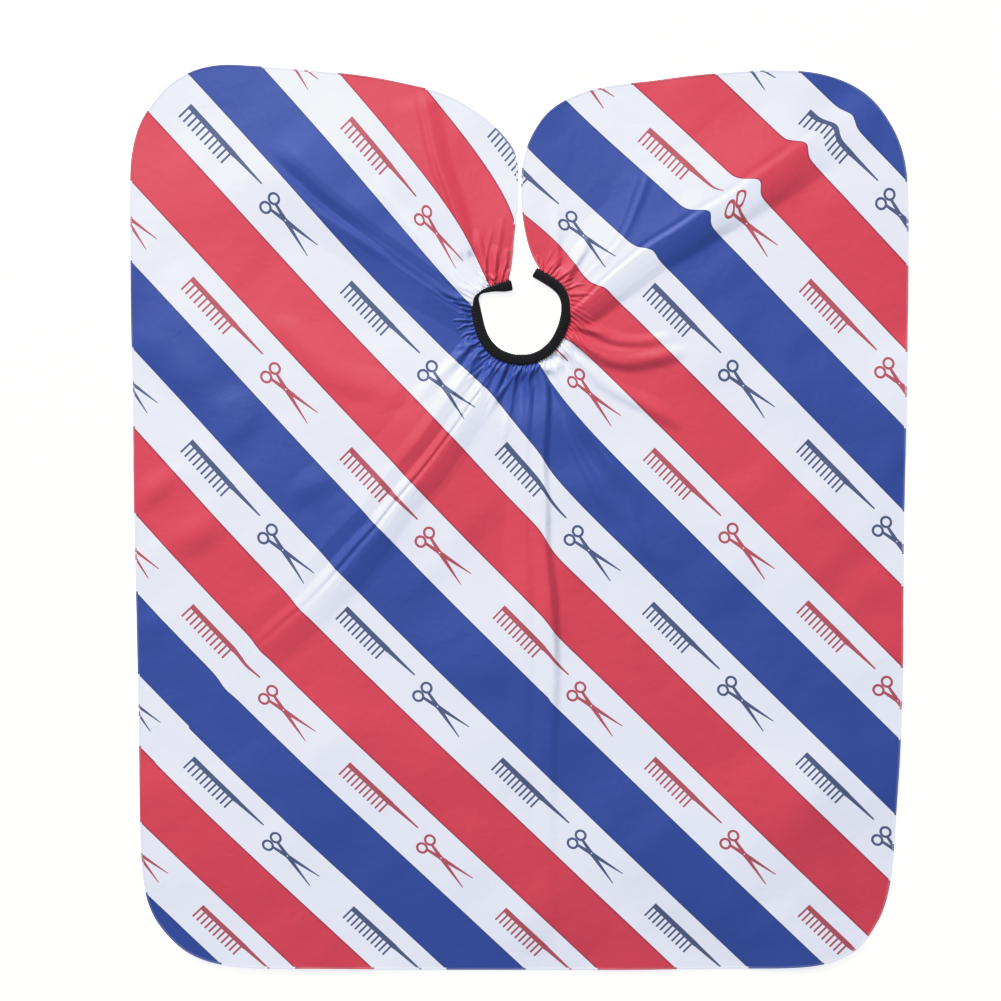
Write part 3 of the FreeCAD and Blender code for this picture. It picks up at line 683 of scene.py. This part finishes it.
def printed(S):
    """The print: white, blue, white and red diagonal stripes, with a comb and scissors along the white ones."""
    u, v, _ = S.uv("print")
    f = S.math("FRACT", v)
    zone = S.step(f, 0.37, 0.0001)                      # 0 in the white stripe with blue motifs, 1 in the other
    soft = 0.7 / STRIPE
    blue = S.span(f, 0.238, 0.5, soft)
    red = S.top(S.step(f, 0.738, soft), S.sub(1.0, S.step(f, 0.0006, soft)))
    # motif coordinates in millimetres: a along the stripe, h across it
    start = S.remap(zone, 0, 1, 236 / MOTIF, 70 / MOTIF)
    a = S.mul(S.math("FRACT", S.sub(u, start)), MOTIF)
    h = S.mul(S.sub(f, S.remap(zone, 0, 1, 0.121, 0.617)), STRIPE)
    e = 0.9
    # a tail comb
    pitch = 8.6
    tooth = S.mul(S.math("ABSOLUTE", S.sub(S.math("FRACT", S.math("DIVIDE", S.sub(a, 4.0), pitch)), 0.5)), pitch)
    teeth = S.mul(S.step(tooth, pitch / 2 - 1.55, e), S.mul(S.span(a, 2.4, 94.0 + 1.6, e), S.span(h, -13.5, 6.5, e)))
    spine = S.mul(S.span(a, 2.4, 95.6, e), S.span(h, 5.0, 13.2, e))
    tail = S.mul(S.span(a, 93.0, 152.0, e),
                 S.step(S.sub(S.remap(a, 95, 152, 3.6, 1.1), S.math("ABSOLUTE", S.sub(h, S.remap(a, 95, 152, 9.2, 10.4)))), 0.0, e))
    comb = S.top(teeth, spine, tail)
    # a pair of scissors
    def seg(x0, y0, x1, y1, r0, r1):
        dx, dy = x1 - x0, y1 - y0
        ll = dx * dx + dy * dy
        px, py = S.sub(a, x0), S.sub(h, y0)
        t = S.math("MULTIPLY", S.add(S.mul(px, dx / ll), S.mul(py, dy / ll)), 1.0, clamp=True)
        qx, qy = S.sub(px, S.mul(t, dx)), S.sub(py, S.mul(t, dy))
        d = S.math("SQRT", S.add(S.mul(qx, qx), S.mul(qy, qy)))
        return S.step(S.sub(S.remap(t, 0, 1, r0, r1), d), 0.0, e)

    def ring(x0, y0, r, w):
        px, py = S.sub(a, x0), S.mul(S.sub(h, y0), 1.12)
        d = S.math("SQRT", S.add(S.mul(px, px), S.mul(py, py)))
        return S.step(S.sub(w, S.math("ABSOLUTE", S.sub(d, r))), 0.0, e)

    shears = S.top(
        ring(179, 9.0, 8.0, 2.0), ring(179, -9.0, 8.0, 2.0),
        seg(186, 5.6, 212, 0.2, 2.0, 3.0), seg(186, -5.6, 212, -0.2, 2.0, 3.0),
        seg(212, 0.2, 270, -11.0, 3.4, 0.7), seg(212, -0.2, 270, 11.0, 3.4, 0.7))
    pin = S.sub(1.0, seg(212, 0, 212.2, 0, 1.0, 1.0))
    ink = S.mul(S.top(comb, S.mul(shears, pin)), 0.93)
    white = S.mix(ink, WHITE, S.mix(zone, INK_BLUE, INK_RED))
    S.coloured = S.top(red, blue)
    line, fade = 2.2 / STRIPE, 1.2 / STRIPE             # the colours end in a thin darker outline
    blue_rim = S.top(S.sub(1.0, S.step(f, 0.238 + line, fade)), S.step(f, 0.5 - line, fade))
    red_rim = S.mul(S.top(S.sub(1.0, S.step(f, 0.738 + line, fade)), S.step(f, 1.0 - line, fade)), S.step(f, 0.1, 0.01))
    blue_ink = S.mix(S.mul(blue_rim, 0.8), BLUE, lin(52, 70, 128))
    red_ink = S.mix(S.mul(red_rim, 0.8), RED, lin(158, 58, 82))
    return S.mix(red, S.mix(blue, white, blue_ink), red_ink)


def cloth_finish(name, colour_fn, back=False):
    S = Shader(name)
    x, y, vec = S.uv("cloth")                           # metres on the flat cloth
    colour = colour_fn(S)
    if back:
        colour = S.mix(0.42, colour, lin(226, 229, 240))
    # slow changes of tone, and the weave
    tone = S.texture("ShaderNodeTexNoise", vec, 9.0, Detail=3.0, Roughness=0.5).outputs["Fac"]
    colour = S.mix(1.0, colour, S.mix(S.remap(tone, 0.3, 0.7, 0, 1), (0.975, 0.972, 0.968), (1.0, 1.0, 1.0)), "MULTIPLY")
    warp = S.math("SINE", S.mul(x, 2 * math.pi / 0.00042))
    weft = S.math("SINE", S.mul(y, 2 * math.pi / 0.00050))
    weave = S.mul(warp, weft)
    slub = S.texture("ShaderNodeTexNoise", vec, 900.0, Detail=1.0).outputs["Fac"]
    colour = S.mix(S.remap(weave, -1, 1, 0.0, 0.06), colour, (0.02, 0.02, 0.03))
    crumple = S.texture("ShaderNodeTexNoise", vec, 34.0, Detail=3.0, Roughness=0.55, Distortion=0.4).outputs["Fac"]
    fine = S.texture("ShaderNodeTexNoise", vec, 120.0, Detail=2.0, Roughness=0.5).outputs["Fac"]
    n = S.bump(crumple, CRUMPLE[0])
    n = S.bump(fine, CRUMPLE[1], normal=n)
    n = S.bump(S.add(S.mul(weave, 0.5), slub), 0.00003, normal=n)
    rough = S.remap(tone, 0.3, 0.7, 0.40, 0.48)
    return S.finish(Base_Color=colour, Roughness=rough, IOR=1.5, Specular_IOR_Level=0.36, Sheen_Weight=0.05, Sheen_Roughness=0.4, Normal=n)


CRUMPLE = (0.0007, 0.00014)


def thread_finish():
    """Overlock thread over the cloth's own print: slanted stitches and the chain along the edge, with painted shade
    darkening the rim on the coloured print.
    """
    S = Shader("edge_thread")
    s, w, vec = S.uv("edge")                            # millimetres along the edge, and 0 at the outer edge to 1 inside
    colour = printed(S)
    pitch = 2.6
    ph = S.math("FRACT", S.add(S.math("DIVIDE", s, pitch), S.mul(w, 0.35)))
    bar = S.step(S.sub(0.25, S.math("ABSOLUTE", S.sub(ph, 0.5))), 0.0, 0.12)
    # on the coloured print the outermost rim is darkened as painted shade where the cloth wraps over the edge, and a
    # darker line marks the seam inside it
    rim = S.sub(1.0, S.step(w, 0.10, 0.1))
    seam = S.span(w, 0.80, 1.02, 0.06)
    gap = S.remap(S.texture("ShaderNodeTexNoise", vec, 0.012, Detail=2.0).outputs["Fac"], 0.4, 0.6, 0.25, 1.0)
    yarn = S.mix(S.texture("ShaderNodeTexNoise", vec, 0.6, Detail=2.0).outputs["Fac"], lin(226, 230, 244), lin(250, 252, 255))
    rim_shade_and_seam = S.mix(S.mul(S.top(rim, S.mul(seam, 0.7)), gap), S.mix(S.mul(bar, 0.22), colour, yarn), S.mix(1.0, colour, (0.22, 0.2, 0.3), "MULTIPLY"))
    plain = S.mix(S.mul(bar, 0.5), colour, yarn)
    colour = S.mix(S.coloured, plain, rim_shade_and_seam)
    twist = S.math("SINE", S.mul(s, 2 * math.pi / 0.45))
    n = S.bump(S.add(bar, S.mul(twist, 0.15)), 0.00018)
    return S.finish(Base_Color=colour, Roughness=0.62, IOR=1.5, Specular_IOR_Level=0.3, Sheen_Weight=0.2, Normal=n)


def binding_finish():
    """Black knitted rib: fine cross ribs with painted highlights on their crests and painted shade in their grooves,
    the knit's stitches and a little lint.
    """
    S = Shader("neck_ribbing")
    s, w, vec = S.uv("band")                            # millimetres along and across
    rib = S.math("SINE", S.mul(s, 2 * math.pi / 1.85))
    knit = S.mul(S.math("SINE", S.mul(s, 2 * math.pi / 0.5)), S.math("SINE", S.mul(w, 2 * math.pi / 0.7)))
    fuzz = S.texture("ShaderNodeTexNoise", vec, 1.6, Detail=4.0, Roughness=0.6).outputs["Fac"]
    # the ribs' crests are painted lighter and their grooves darker: painted highlight and shade along the ribs
    tone = S.remap(rib, -1, 1, 0.0, 1.0)
    colour = S.mix(tone, lin(3, 3, 5), lin(34, 34, 40))
    colour = S.mix(S.mul(S.step(fuzz, 0.66, 0.08), 0.7), colour, lin(48, 48, 56))
    n = S.bump(S.add(S.mul(rib, 0.35), S.add(S.mul(knit, 0.3), fuzz)), 0.00022)
    return S.finish(Base_Color=colour, Roughness=0.7, IOR=1.45, Specular_IOR_Level=0.2, Sheen_Weight=0.12, Sheen_Roughness=0.4, Normal=n)


def yarn_finish(name, dark, light, pitch=0.8):
    S = Shader(name)
    s, w, vec = S.uv("thread")
    ply = S.math("SINE", S.add(S.mul(s, 2 * math.pi / pitch), S.mul(w, 2 * math.pi)))
    lint = S.texture("ShaderNodeTexNoise", vec, 2.0, Detail=2.0).outputs["Fac"]
    colour = S.mix(S.remap(ply, -1, 1, 0, 1), dark, light)
    return S.finish(Base_Color=colour, Roughness=0.7, Specular_IOR_Level=0.3, Sheen_Weight=0.3, Normal=S.bump(S.add(ply, lint), 0.00006))


def steel_finish():
    S = Shader("closure_steel")
    c = S.node("ShaderNodeTexCoord").outputs["Object"]
    fine = S.texture("ShaderNodeTexNoise", c, 2500.0, Detail=3.0, Roughness=0.6).outputs["Fac"]
    wear = S.texture("ShaderNodeTexNoise", c, 300.0, Detail=3.0).outputs["Fac"]
    colour = S.mix(wear, lin(150, 152, 158), lin(206, 208, 212))
    return S.finish(Base_Color=colour, Metallic=1.0, Roughness=S.remap(wear, 0.3, 0.7, 0.24, 0.42), Normal=S.bump(fine, 0.00001))


top_mat = cloth_finish("printed_cloth", printed)
back_mat = cloth_finish("printed_cloth_back", printed, back=True)
overlock_mat = thread_finish()
rib_mat = binding_finish()
black_mat = yarn_finish("black_thread", lin(14, 14, 16), lin(40, 40, 44))
pale_mat = yarn_finish("loose_thread", lin(150, 148, 158), lin(214, 212, 220))
steel_mat = steel_finish()

# ---------------------------------------------------------------------------------------------
# Building meshes
# ---------------------------------------------------------------------------------------------
def mesh(name, co, faces, mats, mat_index=None, uvs=None, normals=None):
    """A mesh in metres from millimetres, with UV layers per vertex and normals set per vertex."""
    me = bpy.data.meshes.new(name)
    faces = np.asarray(faces, np.int32)
    n = len(faces)
    me.vertices.add(len(co))
    me.vertices.foreach_set("co", (np.asarray(co, np.float32) * 0.001).ravel())
    me.loops.add(n * 4)
    me.loops.foreach_set("vertex_index", faces.ravel())
    me.polygons.add(n)
    me.polygons.foreach_set("loop_start", np.arange(0, 4 * n, 4, dtype=np.int32))
    me.polygons.foreach_set("use_smooth", np.ones(n, bool))
    for m in mats:
        me.materials.append(m)
    if mat_index is not None:
        me.polygons.foreach_set("material_index", np.asarray(mat_index, np.int32))
    me.update(calc_edges=True)
    for key, v in (uvs or {}).items():
        layer = me.uv_layers.new(name=key)
        layer.data.foreach_set("uv", np.asarray(v, np.float32)[faces.ravel()].ravel())
    if me.validate():
        print("mesh", name, "was mended")
    if normals is not None:
        me.normals_split_custom_set_from_vertices([tuple(v) for v in np.asarray(normals, float)])
    ob = bpy.data.objects.new(name, me)
    bpy.context.scene.collection.objects.link(ob)
    return ob


def grid_faces(a, b, flip=False):
    """Quads over an a by b block of vertices."""
    i = np.arange(a * b).reshape(a, b)
    q = np.stack([i[:-1, :-1], i[:-1, 1:], i[1:, 1:], i[1:, :-1]], -1).reshape(-1, 4)
    return q[:, ::-1] if flip else q


def surface_normals(P):
    a, b = np.gradient(P, axis=0), np.gradient(P, axis=1)
    n = np.cross(a, b)
    n /= np.linalg.norm(n, axis=-1, keepdims=True) + 1e-12
    return n


def flaps(ob, side, slot_name, *nodes):
    """A piece that lies partly on the cape's main part and partly on a back flap."""
    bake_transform(ob)
    if nodes:
        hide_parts(*nodes)
    return ob


# the cloth, in two halves that meet on the centre line below the neck
norm = surface_normals(cloth)
norm *= np.where(norm[..., 2:3] < 0, -1, 1)
under = cloth - norm * CLOTH_T
under[..., 2] = np.maximum(under[..., 2], 0.02)
left_of = (np.arange(FINE[0] + 1) <= FINE[0] // 2)[:, None] & np.ones(FINE[1] + 1, bool)
uv_print = print_uv(cloth[..., 0], cloth[..., 1], left_of)
uv_cloth = flat * 0.001
halves = {}
for side, i0, i1 in (("left", 0, FINE[0] // 2), ("right", FINE[0] // 2, FINE[0])):
    sl = slice(i0, i1 + 1)
    a, b = i1 - i0 + 1, FINE[1] + 1
    top = cloth[sl].reshape(-1, 3)
    low = under[sl].reshape(-1, 3)
    n = len(top)
    f_top = grid_faces(a, b)
    z = np.cross(top[f_top[0, 1]] - top[f_top[0, 0]], top[f_top[0, 2]] - top[f_top[0, 0]])[2]
    if z < 0:
        f_top = f_top[:, ::-1]
    f_low = f_top[:, [0, 3, 2, 1]] + n                   # cut along the same diagonals as the top
    idx = np.arange(n).reshape(a, b)
    rims = [idx[:, -1], idx[:, 0], idx[0, :], idx[-1, :]]
    f_rim = []
    for rim in rims:
        q = np.stack([rim[:-1], rim[1:], rim[1:] + n, rim[:-1] + n], -1)
        f_rim.append(q)
    faces = np.concatenate([f_top, f_low] + f_rim)
    index = np.r_[np.zeros(len(f_top), int), np.ones(len(f_low), int), np.zeros(sum(len(q) for q in f_rim), int)]
    nn = norm[sl].reshape(-1, 3)
    ob = mesh("cloth_" + side, np.r_[top, low], faces, [top_mat, back_mat], index,
              {"print": np.concatenate([uv_print[sl].reshape(-1, 2)] * 2),
               "cloth": np.concatenate([uv_cloth[sl].reshape(-1, 2)] * 2)},
              np.r_[nn, -nn])
    halves[side] = ob
flaps(halves["left"], "left", "printed_cloth", "main_panel", "left_back_panel")
flaps(halves["right"], "right", "printed_cloth", "right_back_panel")

# a look-up of the cloth's height
_f = grid_faces(FINE[0] + 1, FINE[1] + 1)
tree = BVHTree.FromPolygons([Vector(v) for v in cloth.reshape(-1, 3)], _f.tolist())


def height(x, y, fallback):
    hit = tree.ray_cast(Vector((x, y, 60.0)), Vector((0, 0, -1)))[0]
    return hit.z if hit is not None else fallback


# overlocked edge: a stitched strip that follows the cloth's outline from neck to neck
def outline():
    path = np.concatenate([cloth[0, 5:-1], cloth[:, -1], cloth[-1, 5:-1][::-1]])
    s = np.r_[0, np.cumsum(np.linalg.norm(np.diff(path, axis=0), axis=1))]
    n = int(s[-1] / 1.3)
    t = np.linspace(0, s[-1], n + 1)
    q = np.stack([np.interp(t, s, path[:, k]) for k in range(3)], -1)
    ker = np.hanning(9)
    ker /= ker.sum()
    for k in range(3):
        q[4:-4, k] = np.convolve(q[:, k], ker, "valid")
    return q, t


line, line_s = outline()
tan = np.gradient(line[:, :2], axis=0)
tan /= np.linalg.norm(tan, axis=1, keepdims=True)
inward = np.stack([tan[:, 1], -tan[:, 0]], -1)
# inward points to the cloth
probe = line[len(line) // 2, :2] + inward[len(line) // 2] * 10
if tree.ray_cast(Vector((probe[0], probe[1], 60.0)), Vector((0, 0, -1)))[0] is None:
    inward = -inward
half = len(line) // 2
SECTION = ((2.9, 0.05), (2.6, 0.30), (1.8, 0.38), (0.8, 0.40), (0.05, 0.34), (-0.2, 0.14), (-0.22, -0.12), (0.0, -0.38), (1.4, -0.42), (2.8, -0.40))
rings = []
for k, (p, w) in enumerate(zip(line, inward)):
    bulge = 1.0 + 0.22 * math.cos(2 * math.pi * line_s[k] / 2.6)
    ring = []
    for off, up in SECTION:
        x, y = p[0] + w[0] * off, p[1] + w[1] * off
        z = height(x, y, p[2]) if off > 0.05 else p[2]
        ring.append((x, y, max(z + up * (bulge if up > 0 else 1.0), 0.03)))
    rings.append(ring)
rings = np.array(rings)
across = np.array([o / 2.9 for o, u in SECTION])
edge_uv = np.stack(np.broadcast_arrays(line_s[:, None], across[None]), -1)
on_left = np.arange(len(line)) <= half
ov_print = print_uv(line[:, 0], line[:, 1], on_left)
ov_print = np.broadcast_to(ov_print[:, None, :], rings.shape[:2] + (2,))
ring_n = surface_normals(rings)
if ring_n[half, 2, 2] < 0:
    ring_n = -ring_n
for side, k0, k1 in (("left", 0, half), ("right", half, len(line) - 1)):
    sl = slice(k0, k1 + 1)
    R = rings[sl]
    faces = grid_faces(R.shape[0], R.shape[1])
    c = np.cross(R[0, 2] - R[0, 1], R[1, 1] - R[0, 1])
    f = faces if c[2] > 0 else faces[:, ::-1]
    ob = mesh("overlock_" + side, R.reshape(-1, 3), f, [overlock_mat], None,
              {"print": ov_print[sl].reshape(-1, 2), "edge": edge_uv[sl].reshape(-1, 2)}, ring_n[sl].reshape(-1, 3))
    halves["overlock_" + side] = ob
flaps(halves["overlock_left"], "left", "edge_thread", "main_edge_overlock", "left_edge_overlock")
flaps(halves["overlock_right"], "right", "edge_thread", "right_edge_overlock")


# neck binding: a plump ribbed band that closes over the cloth's raw edge
def binding_rings():
    L = bind.length
    s = np.arange(0, L + 0.01, 0.4)
    s[-1] = L
    nphi = 26
    rng_w = noise(s, s * 0, 22, 31) * 0.35
    phi = np.linspace(0, 2 * math.pi, nphi, endpoint=False)
    C, T = bind.at(s), bind.tangent(s, 2.0)
    out = np.stack([T[:, 1], -T[:, 0]], -1)
    slim = np.interp(s, (0, 10, 24, 38, 47, 53, 59, 67, 80, 95, 125, 160, 250, 300, 400), (1.3, 1.28, 1.12, 0.88, 0.62, 0.58, 0.88, 1.22, 1.27, 1.2, 1.17, 1.22, 1.22, 1.17, 1.22))
    sit = np.interp(s, (0, 12, 30, 60, 150, 240, 400), (-1.5, -1.5, -0.5, 0.0, -0.6, -0.6, -0.2))   # towards the inside of the neck
    hw = bind.value(s) * slim + 0.25 * noise(s, s * 0 + 40, 9, 33)
    pinch = np.exp(-((s - 52.0) / 14.0) ** 2)
    hh = 3.75 - 0.5 * pinch
    zc = 4.1 + 0.0 * s
    # rounded ends
    for end in (0.0, L):
        d = np.abs(s - end)
        k = np.sqrt(np.clip(1 - np.clip(1 - d / 1.6, 0, 1) ** 2, 0.02, 1))
        hw, hh = hw * (0.55 + 0.45 * k), hh * (0.25 + 0.75 * k)
    ribs = 0.5 + 0.5 * np.cos(2 * math.pi * s / 3.7 + 0.9 * noise(s, s * 0 + 19, 20, 37))
    saw = 0.5 + 0.5 * np.cos(2 * math.pi * s / 3.7 + 0.9 * noise(s, s * 0 + 19, 20, 37))   # the gathers press into its outer side
    R = np.zeros((len(s), nphi, 3))
    twist = 0.5 * pinch * np.sin((s - 52.0) / 9.0)
    for k, f in enumerate(phi):
        c, q = math.cos(f), math.sin(f)
        e = 2 / 2.6
        lat = math.copysign(abs(c) ** e, c)
        ver = math.copysign(abs(q) ** e, q)
        bulge = 1 - (0.13 if lat > -0.5 else 0.05) * (1 - ribs) ** 1.5
        x = lat * hw * bulge
        z = ver * hh * bulge
        xr = x * np.cos(twist) - z * np.sin(twist)
        zr = x * np.sin(twist) * 0.5 + z * np.cos(twist)
        R[:, k, :2] = C + out * (xr + rng_w + sit - 1.0 * (1 - saw) * max(lat, 0) ** 2)[:, None]
        R[:, k, 2] = np.maximum(zc + zr, 0.05)
    return s, R, phi, out, hw


bs, band, phi, band_out, band_hw = binding_rings()
closed = np.concatenate([band, band[:, :1]], 1)
bn = surface_normals(np.concatenate([band[:, -1:], band, band[:, :1]], 1))[:, 1:-1]
if bn[len(bs) // 2, 6, 2] < 0:
    bn = -bn
width_mm = np.cumsum(np.r_[0, np.linalg.norm(np.diff(closed[len(bs) // 2], axis=0), axis=1)])
bhalf = len(bs) // 2
for side, k0, k1 in (("left", 0, bhalf), ("right", bhalf, len(bs) - 1)):
    R = closed[k0:k1 + 1]
    a, b = R.shape[:2]
    faces = grid_faces(a, b)
    mid = R[1, 6]
    c = np.cross(R[0, 7] - R[0, 6], R[1, 6] - R[0, 6])
    faces = faces if c[2] > 0 else faces[:, ::-1]
    co = R.reshape(-1, 3)
    nn = np.concatenate([bn[k0:k1 + 1], bn[k0:k1 + 1, :1]], 1).reshape(-1, 3)
    uv = np.stack(np.broadcast_arrays(bs[k0:k1 + 1, None], width_mm[None]), -1).reshape(-1, 2)
    # close the free end with a fan of quads across the ring
    k = 0 if side == "left" else a - 1
    ring = np.arange(b - 1) + k * b
    m = (b - 1) // 2
    cap = [(ring[j], ring[j + 1], ring[b - 3 - j], ring[b - 2 - j]) for j in range(m - 1)]
    cap = np.array(cap)
    want = -1 if side == "left" else 1
    t = bind.tangent(np.array([bs[0] if side == "left" else bs[-1]]))[0]
    c = np.cross(co[cap[0, 1]] - co[cap[0, 0]], co[cap[0, 2]] - co[cap[0, 0]])
    if (c[:2] @ t) * want < 0:
        cap = cap[:, ::-1]
    faces = np.concatenate([faces, cap])
    ob = mesh("neck_binding_" + side, co, faces, [rib_mat], None, {"band": uv}, None)
    bm = bmesh.new()
    bm.from_mesh(ob.data)
    bmesh.ops.remove_doubles(bm, verts=bm.verts, dist=1e-6)
    bmesh.ops.recalc_face_normals(bm, faces=bm.faces)
    bm.to_mesh(ob.data)
    bm.free()
    halves["band_" + side] = ob
flaps(halves["band_left"], "left", "neck_ribbing", "neck_binding", "left_binding_end", "neck_elastic", "left_elastic_end")
flaps(halves["band_right"], "right", "neck_ribbing", "right_binding_end", "right_elastic_end")


# threads
def tube(path, r, sides=7):
    """Rings round a path of points, with the distance along it."""
    p = np.asarray(path, float)
    t = np.gradient(p, axis=0)
    t /= np.linalg.norm(t, axis=1, keepdims=True) + 1e-12
    up = np.tile([0.0, 0.0, 1.0], (len(p), 1))
    a = np.cross(t, up)
    a /= np.linalg.norm(a, axis=1, keepdims=True) + 1e-9
    b = np.cross(a, t)
    f = np.linspace(0, 2 * math.pi, sides + 1)
    rr = np.full(len(p), r)
    rr[0] *= 0.35
    rr[-1] *= 0.35
    R = p[:, None] + rr[:, None, None] * (np.cos(f)[None, :, None] * a[:, None] + np.sin(f)[None, :, None] * b[:, None])
    s = np.r_[0, np.cumsum(np.linalg.norm(np.diff(p, axis=0), axis=1))]
    uv = np.stack(np.broadcast_arrays(s[:, None], (f / (2 * math.pi))[None]), -1)
    return R, uv


def threads(name, paths, r, mat):
    cos, faces, uvs, n = [], [], [], 0
    for p in paths:
        R, uv = tube(p, r)
        q = grid_faces(*R.shape[:2])
        cos.append(R.reshape(-1, 3))
        uvs.append(uv.reshape(-1, 2))
        faces.append(q + n)
        n += R.shape[0] * R.shape[1]
    ob = mesh(name, np.concatenate(cos), np.concatenate(faces), [mat], None, {"thread": np.concatenate(uvs)})
    bm = bmesh.new()
    bm.from_mesh(ob.data)
    bmesh.ops.remove_doubles(bm, verts=bm.verts, dist=2e-6)
    bmesh.ops.holes_fill(bm, edges=bm.edges, sides=8)
    bmesh.ops.recalc_face_normals(bm, faces=bm.faces)
    bm.to_mesh(ob.data)
    bm.free()
    return ob


band_tree = BVHTree.FromPolygons([Vector(v) for v in closed.reshape(-1, 3)], grid_faces(*closed.shape[:2]).tolist())


def on_band(s, side_off):
    c, t = bind.at(np.array([s]))[0], bind.tangent(np.array([s]))[0]
    x, y = c[0] + t[1] * side_off, c[1] - t[0] * side_off
    hit = band_tree.ray_cast(Vector((x, y, 60.0)), Vector((0, 0, -1)))[0]
    return (x, y, hit.z if hit is not None else 5.0)


def stitches(s0, s1):
    out = []
    s = s0
    while s + 2.2 < s1:
        off = 0.52 * float(bind.value(s))
        pts = [on_band(s + t * 2.1, off) for t in (0, 0.25, 0.5, 0.75, 1)]
        lift = (-0.12, 0.14, 0.2, 0.14, -0.12)
        out.append([(x, y, min(z + l, 8.45)) for (x, y, z), l in zip(pts, lift)])
        s += 3.0
    return out


mid_s = bs[bhalf]
flaps(threads("seam_stitches_left", stitches(3.0, mid_s), 0.2, black_mat), "left", "black_thread",
      "neck_seam_stitches", "left_seam_stitches", "hook_stitches")
flaps(threads("seam_stitches_right", stitches(mid_s + 0.4, bind.length - 2.0), 0.2, black_mat), "right", "black_thread",
      "right_seam_stitches", "eye_stitches")

# the overlock's thread ends hang loose in small loops beside the slit, near the neck
def loop(x, y, dx, dy, seed, turns=1.0):
    rng = np.random.default_rng(seed)
    t = np.linspace(0, 1, 36)
    px_ = x + dx * t + 2.4 * np.sin(2 * math.pi * turns * t + rng.uniform(0, 6))
    py_ = y + dy * t + 2.0 * np.cos(2 * math.pi * turns * t + rng.uniform(0, 6))
    z = 1.0 + 1.6 * np.sin(math.pi * t) ** 2
    return np.stack([px_, py_, z], -1)


flaps(threads("thread_ends_left", [loop(-10.0, 434.0, -4.0, -38.0, 2, 2.3), loop(-9.0, 420.0, -2.0, -22.0, 5, 1.4), loop(-13.0, 398.0, -2.0, -14.0, 8, 1.1)], 0.22, pale_mat),
      "left", "edge_thread")

for name in ("closure_hook", "closure_eye"):
    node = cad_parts[name]
    node.data.materials.clear()
    node.data.materials.append(steel_mat)

for side in ("left", "right"):
    wide, area = {"left": (0.63, 0.74), "right": (0.79, 0.88)}[side]        # the line between the halves slants, so they differ

# ---------------------------------------------------------------------------------------------
# Floor, light and camera
# ---------------------------------------------------------------------------------------------
def floor_finish():
    S = Shader("floor")
    d = S.node("ShaderNodeBsdfDiffuse")
    S.put(d.inputs["Color"], (0.9, 0.9, 0.9))
    e = S.node("ShaderNodeEmission")
    S.put(e.inputs["Color"], (1.0, 1.0, 1.0))
    S.put(e.inputs["Strength"], 0.6)
    a = S.node("ShaderNodeAddShader")
    S.tree.links.new(d.outputs[0], a.inputs[0])
    S.tree.links.new(e.outputs[0], a.inputs[1])
    out = S.node("ShaderNodeOutputMaterial")
    S.tree.links.new(a.outputs[0], out.inputs[0])
    return S.mat


bpy.ops.mesh.primitive_plane_add(size=12, location=(0, 0, -0.0012))
floor = bpy.context.object
floor.name = "floor"
floor.data.materials.append(floor_finish())

scene = bpy.context.scene
scene.view_settings.view_transform = "Standard"
scene.view_settings.look = "None"
# a camera's soft shoulder, so that white cloth turned to the light keeps its shading
scene.view_settings.use_curve_mapping = True
curves = scene.view_settings.curve_mapping
curves.use_clip = True
curves.clip_max_x = 2.0
curves.clip_max_y = 1.0
shoulder = curves.curves[3]
shoulder.points[0].location = (0.0, 0.0)
shoulder.points[1].location = (2.0, 1.0)
for x, y in ((0.35, 0.35), (0.75, 0.75), (0.94, 0.9), (1.15, 0.965), (1.45, 1.0)):
    shoulder.points.new(x, y)
# and its cool, even rendering of white
for channel, way in enumerate((
        ((0.5, 0.505), (0.68, 0.735), (0.85, 0.838), (0.95, 0.935)),
        ((0.5, 0.505), (0.71, 0.765), (0.88, 0.862), (0.96, 0.945)),
        ((0.5, 0.5), (0.65, 0.7), (0.8, 0.89), (0.93, 0.955)))):
    tint = curves.curves[channel]
    tint.points[0].location = (0.0, 0.0)
    tint.points[1].location = (1.0, 1.0)
    for x, y in way:
        tint.points.new(x, y)
curves.update()
world = bpy.data.worlds.new("studio")
scene.world = world
world.use_nodes = True
world.node_tree.nodes["Background"].inputs[0].default_value = (0.93, 0.955, 1.0, 1)
world.node_tree.nodes["Background"].inputs[1].default_value = 0.26


def area(name, at, target, size, watts, colour=(1, 1, 1)):
    data = bpy.data.lights.new(name, "AREA")
    data.shape = "RECTANGLE"
    data.size, data.size_y = size
    data.energy = watts
    data.color = colour
    ob = bpy.data.objects.new(name, data)
    ob.location = at
    ob.rotation_euler = (Vector(target) - Vector(at)).to_track_quat("-Z", "Y").to_euler()
    scene.collection.objects.link(ob)
    return ob


area("key", (-4.0, 10.2, 6.6), (0.0, 0.0, 0.0), (4.4, 2.8), 1500.0, (1.0, 0.99, 0.975))
area("soft", (-0.9, 1.95, 4.0), (0.0, 0.1, 0.0), (1.5, 0.9), 62.0, (1.0, 0.99, 0.98))

cam_data = bpy.data.cameras.new("camera")
cam_data.sensor_width = 36.0
cam_data.lens = 36.0 * 4.0 / 1.5456
camera = bpy.data.objects.new("camera", cam_data)
camera.location = (-0.0293, 0.0262, 4.0)
camera.rotation_euler = (0, 0, 0)
scene.collection.objects.link(camera)
scene.camera = camera
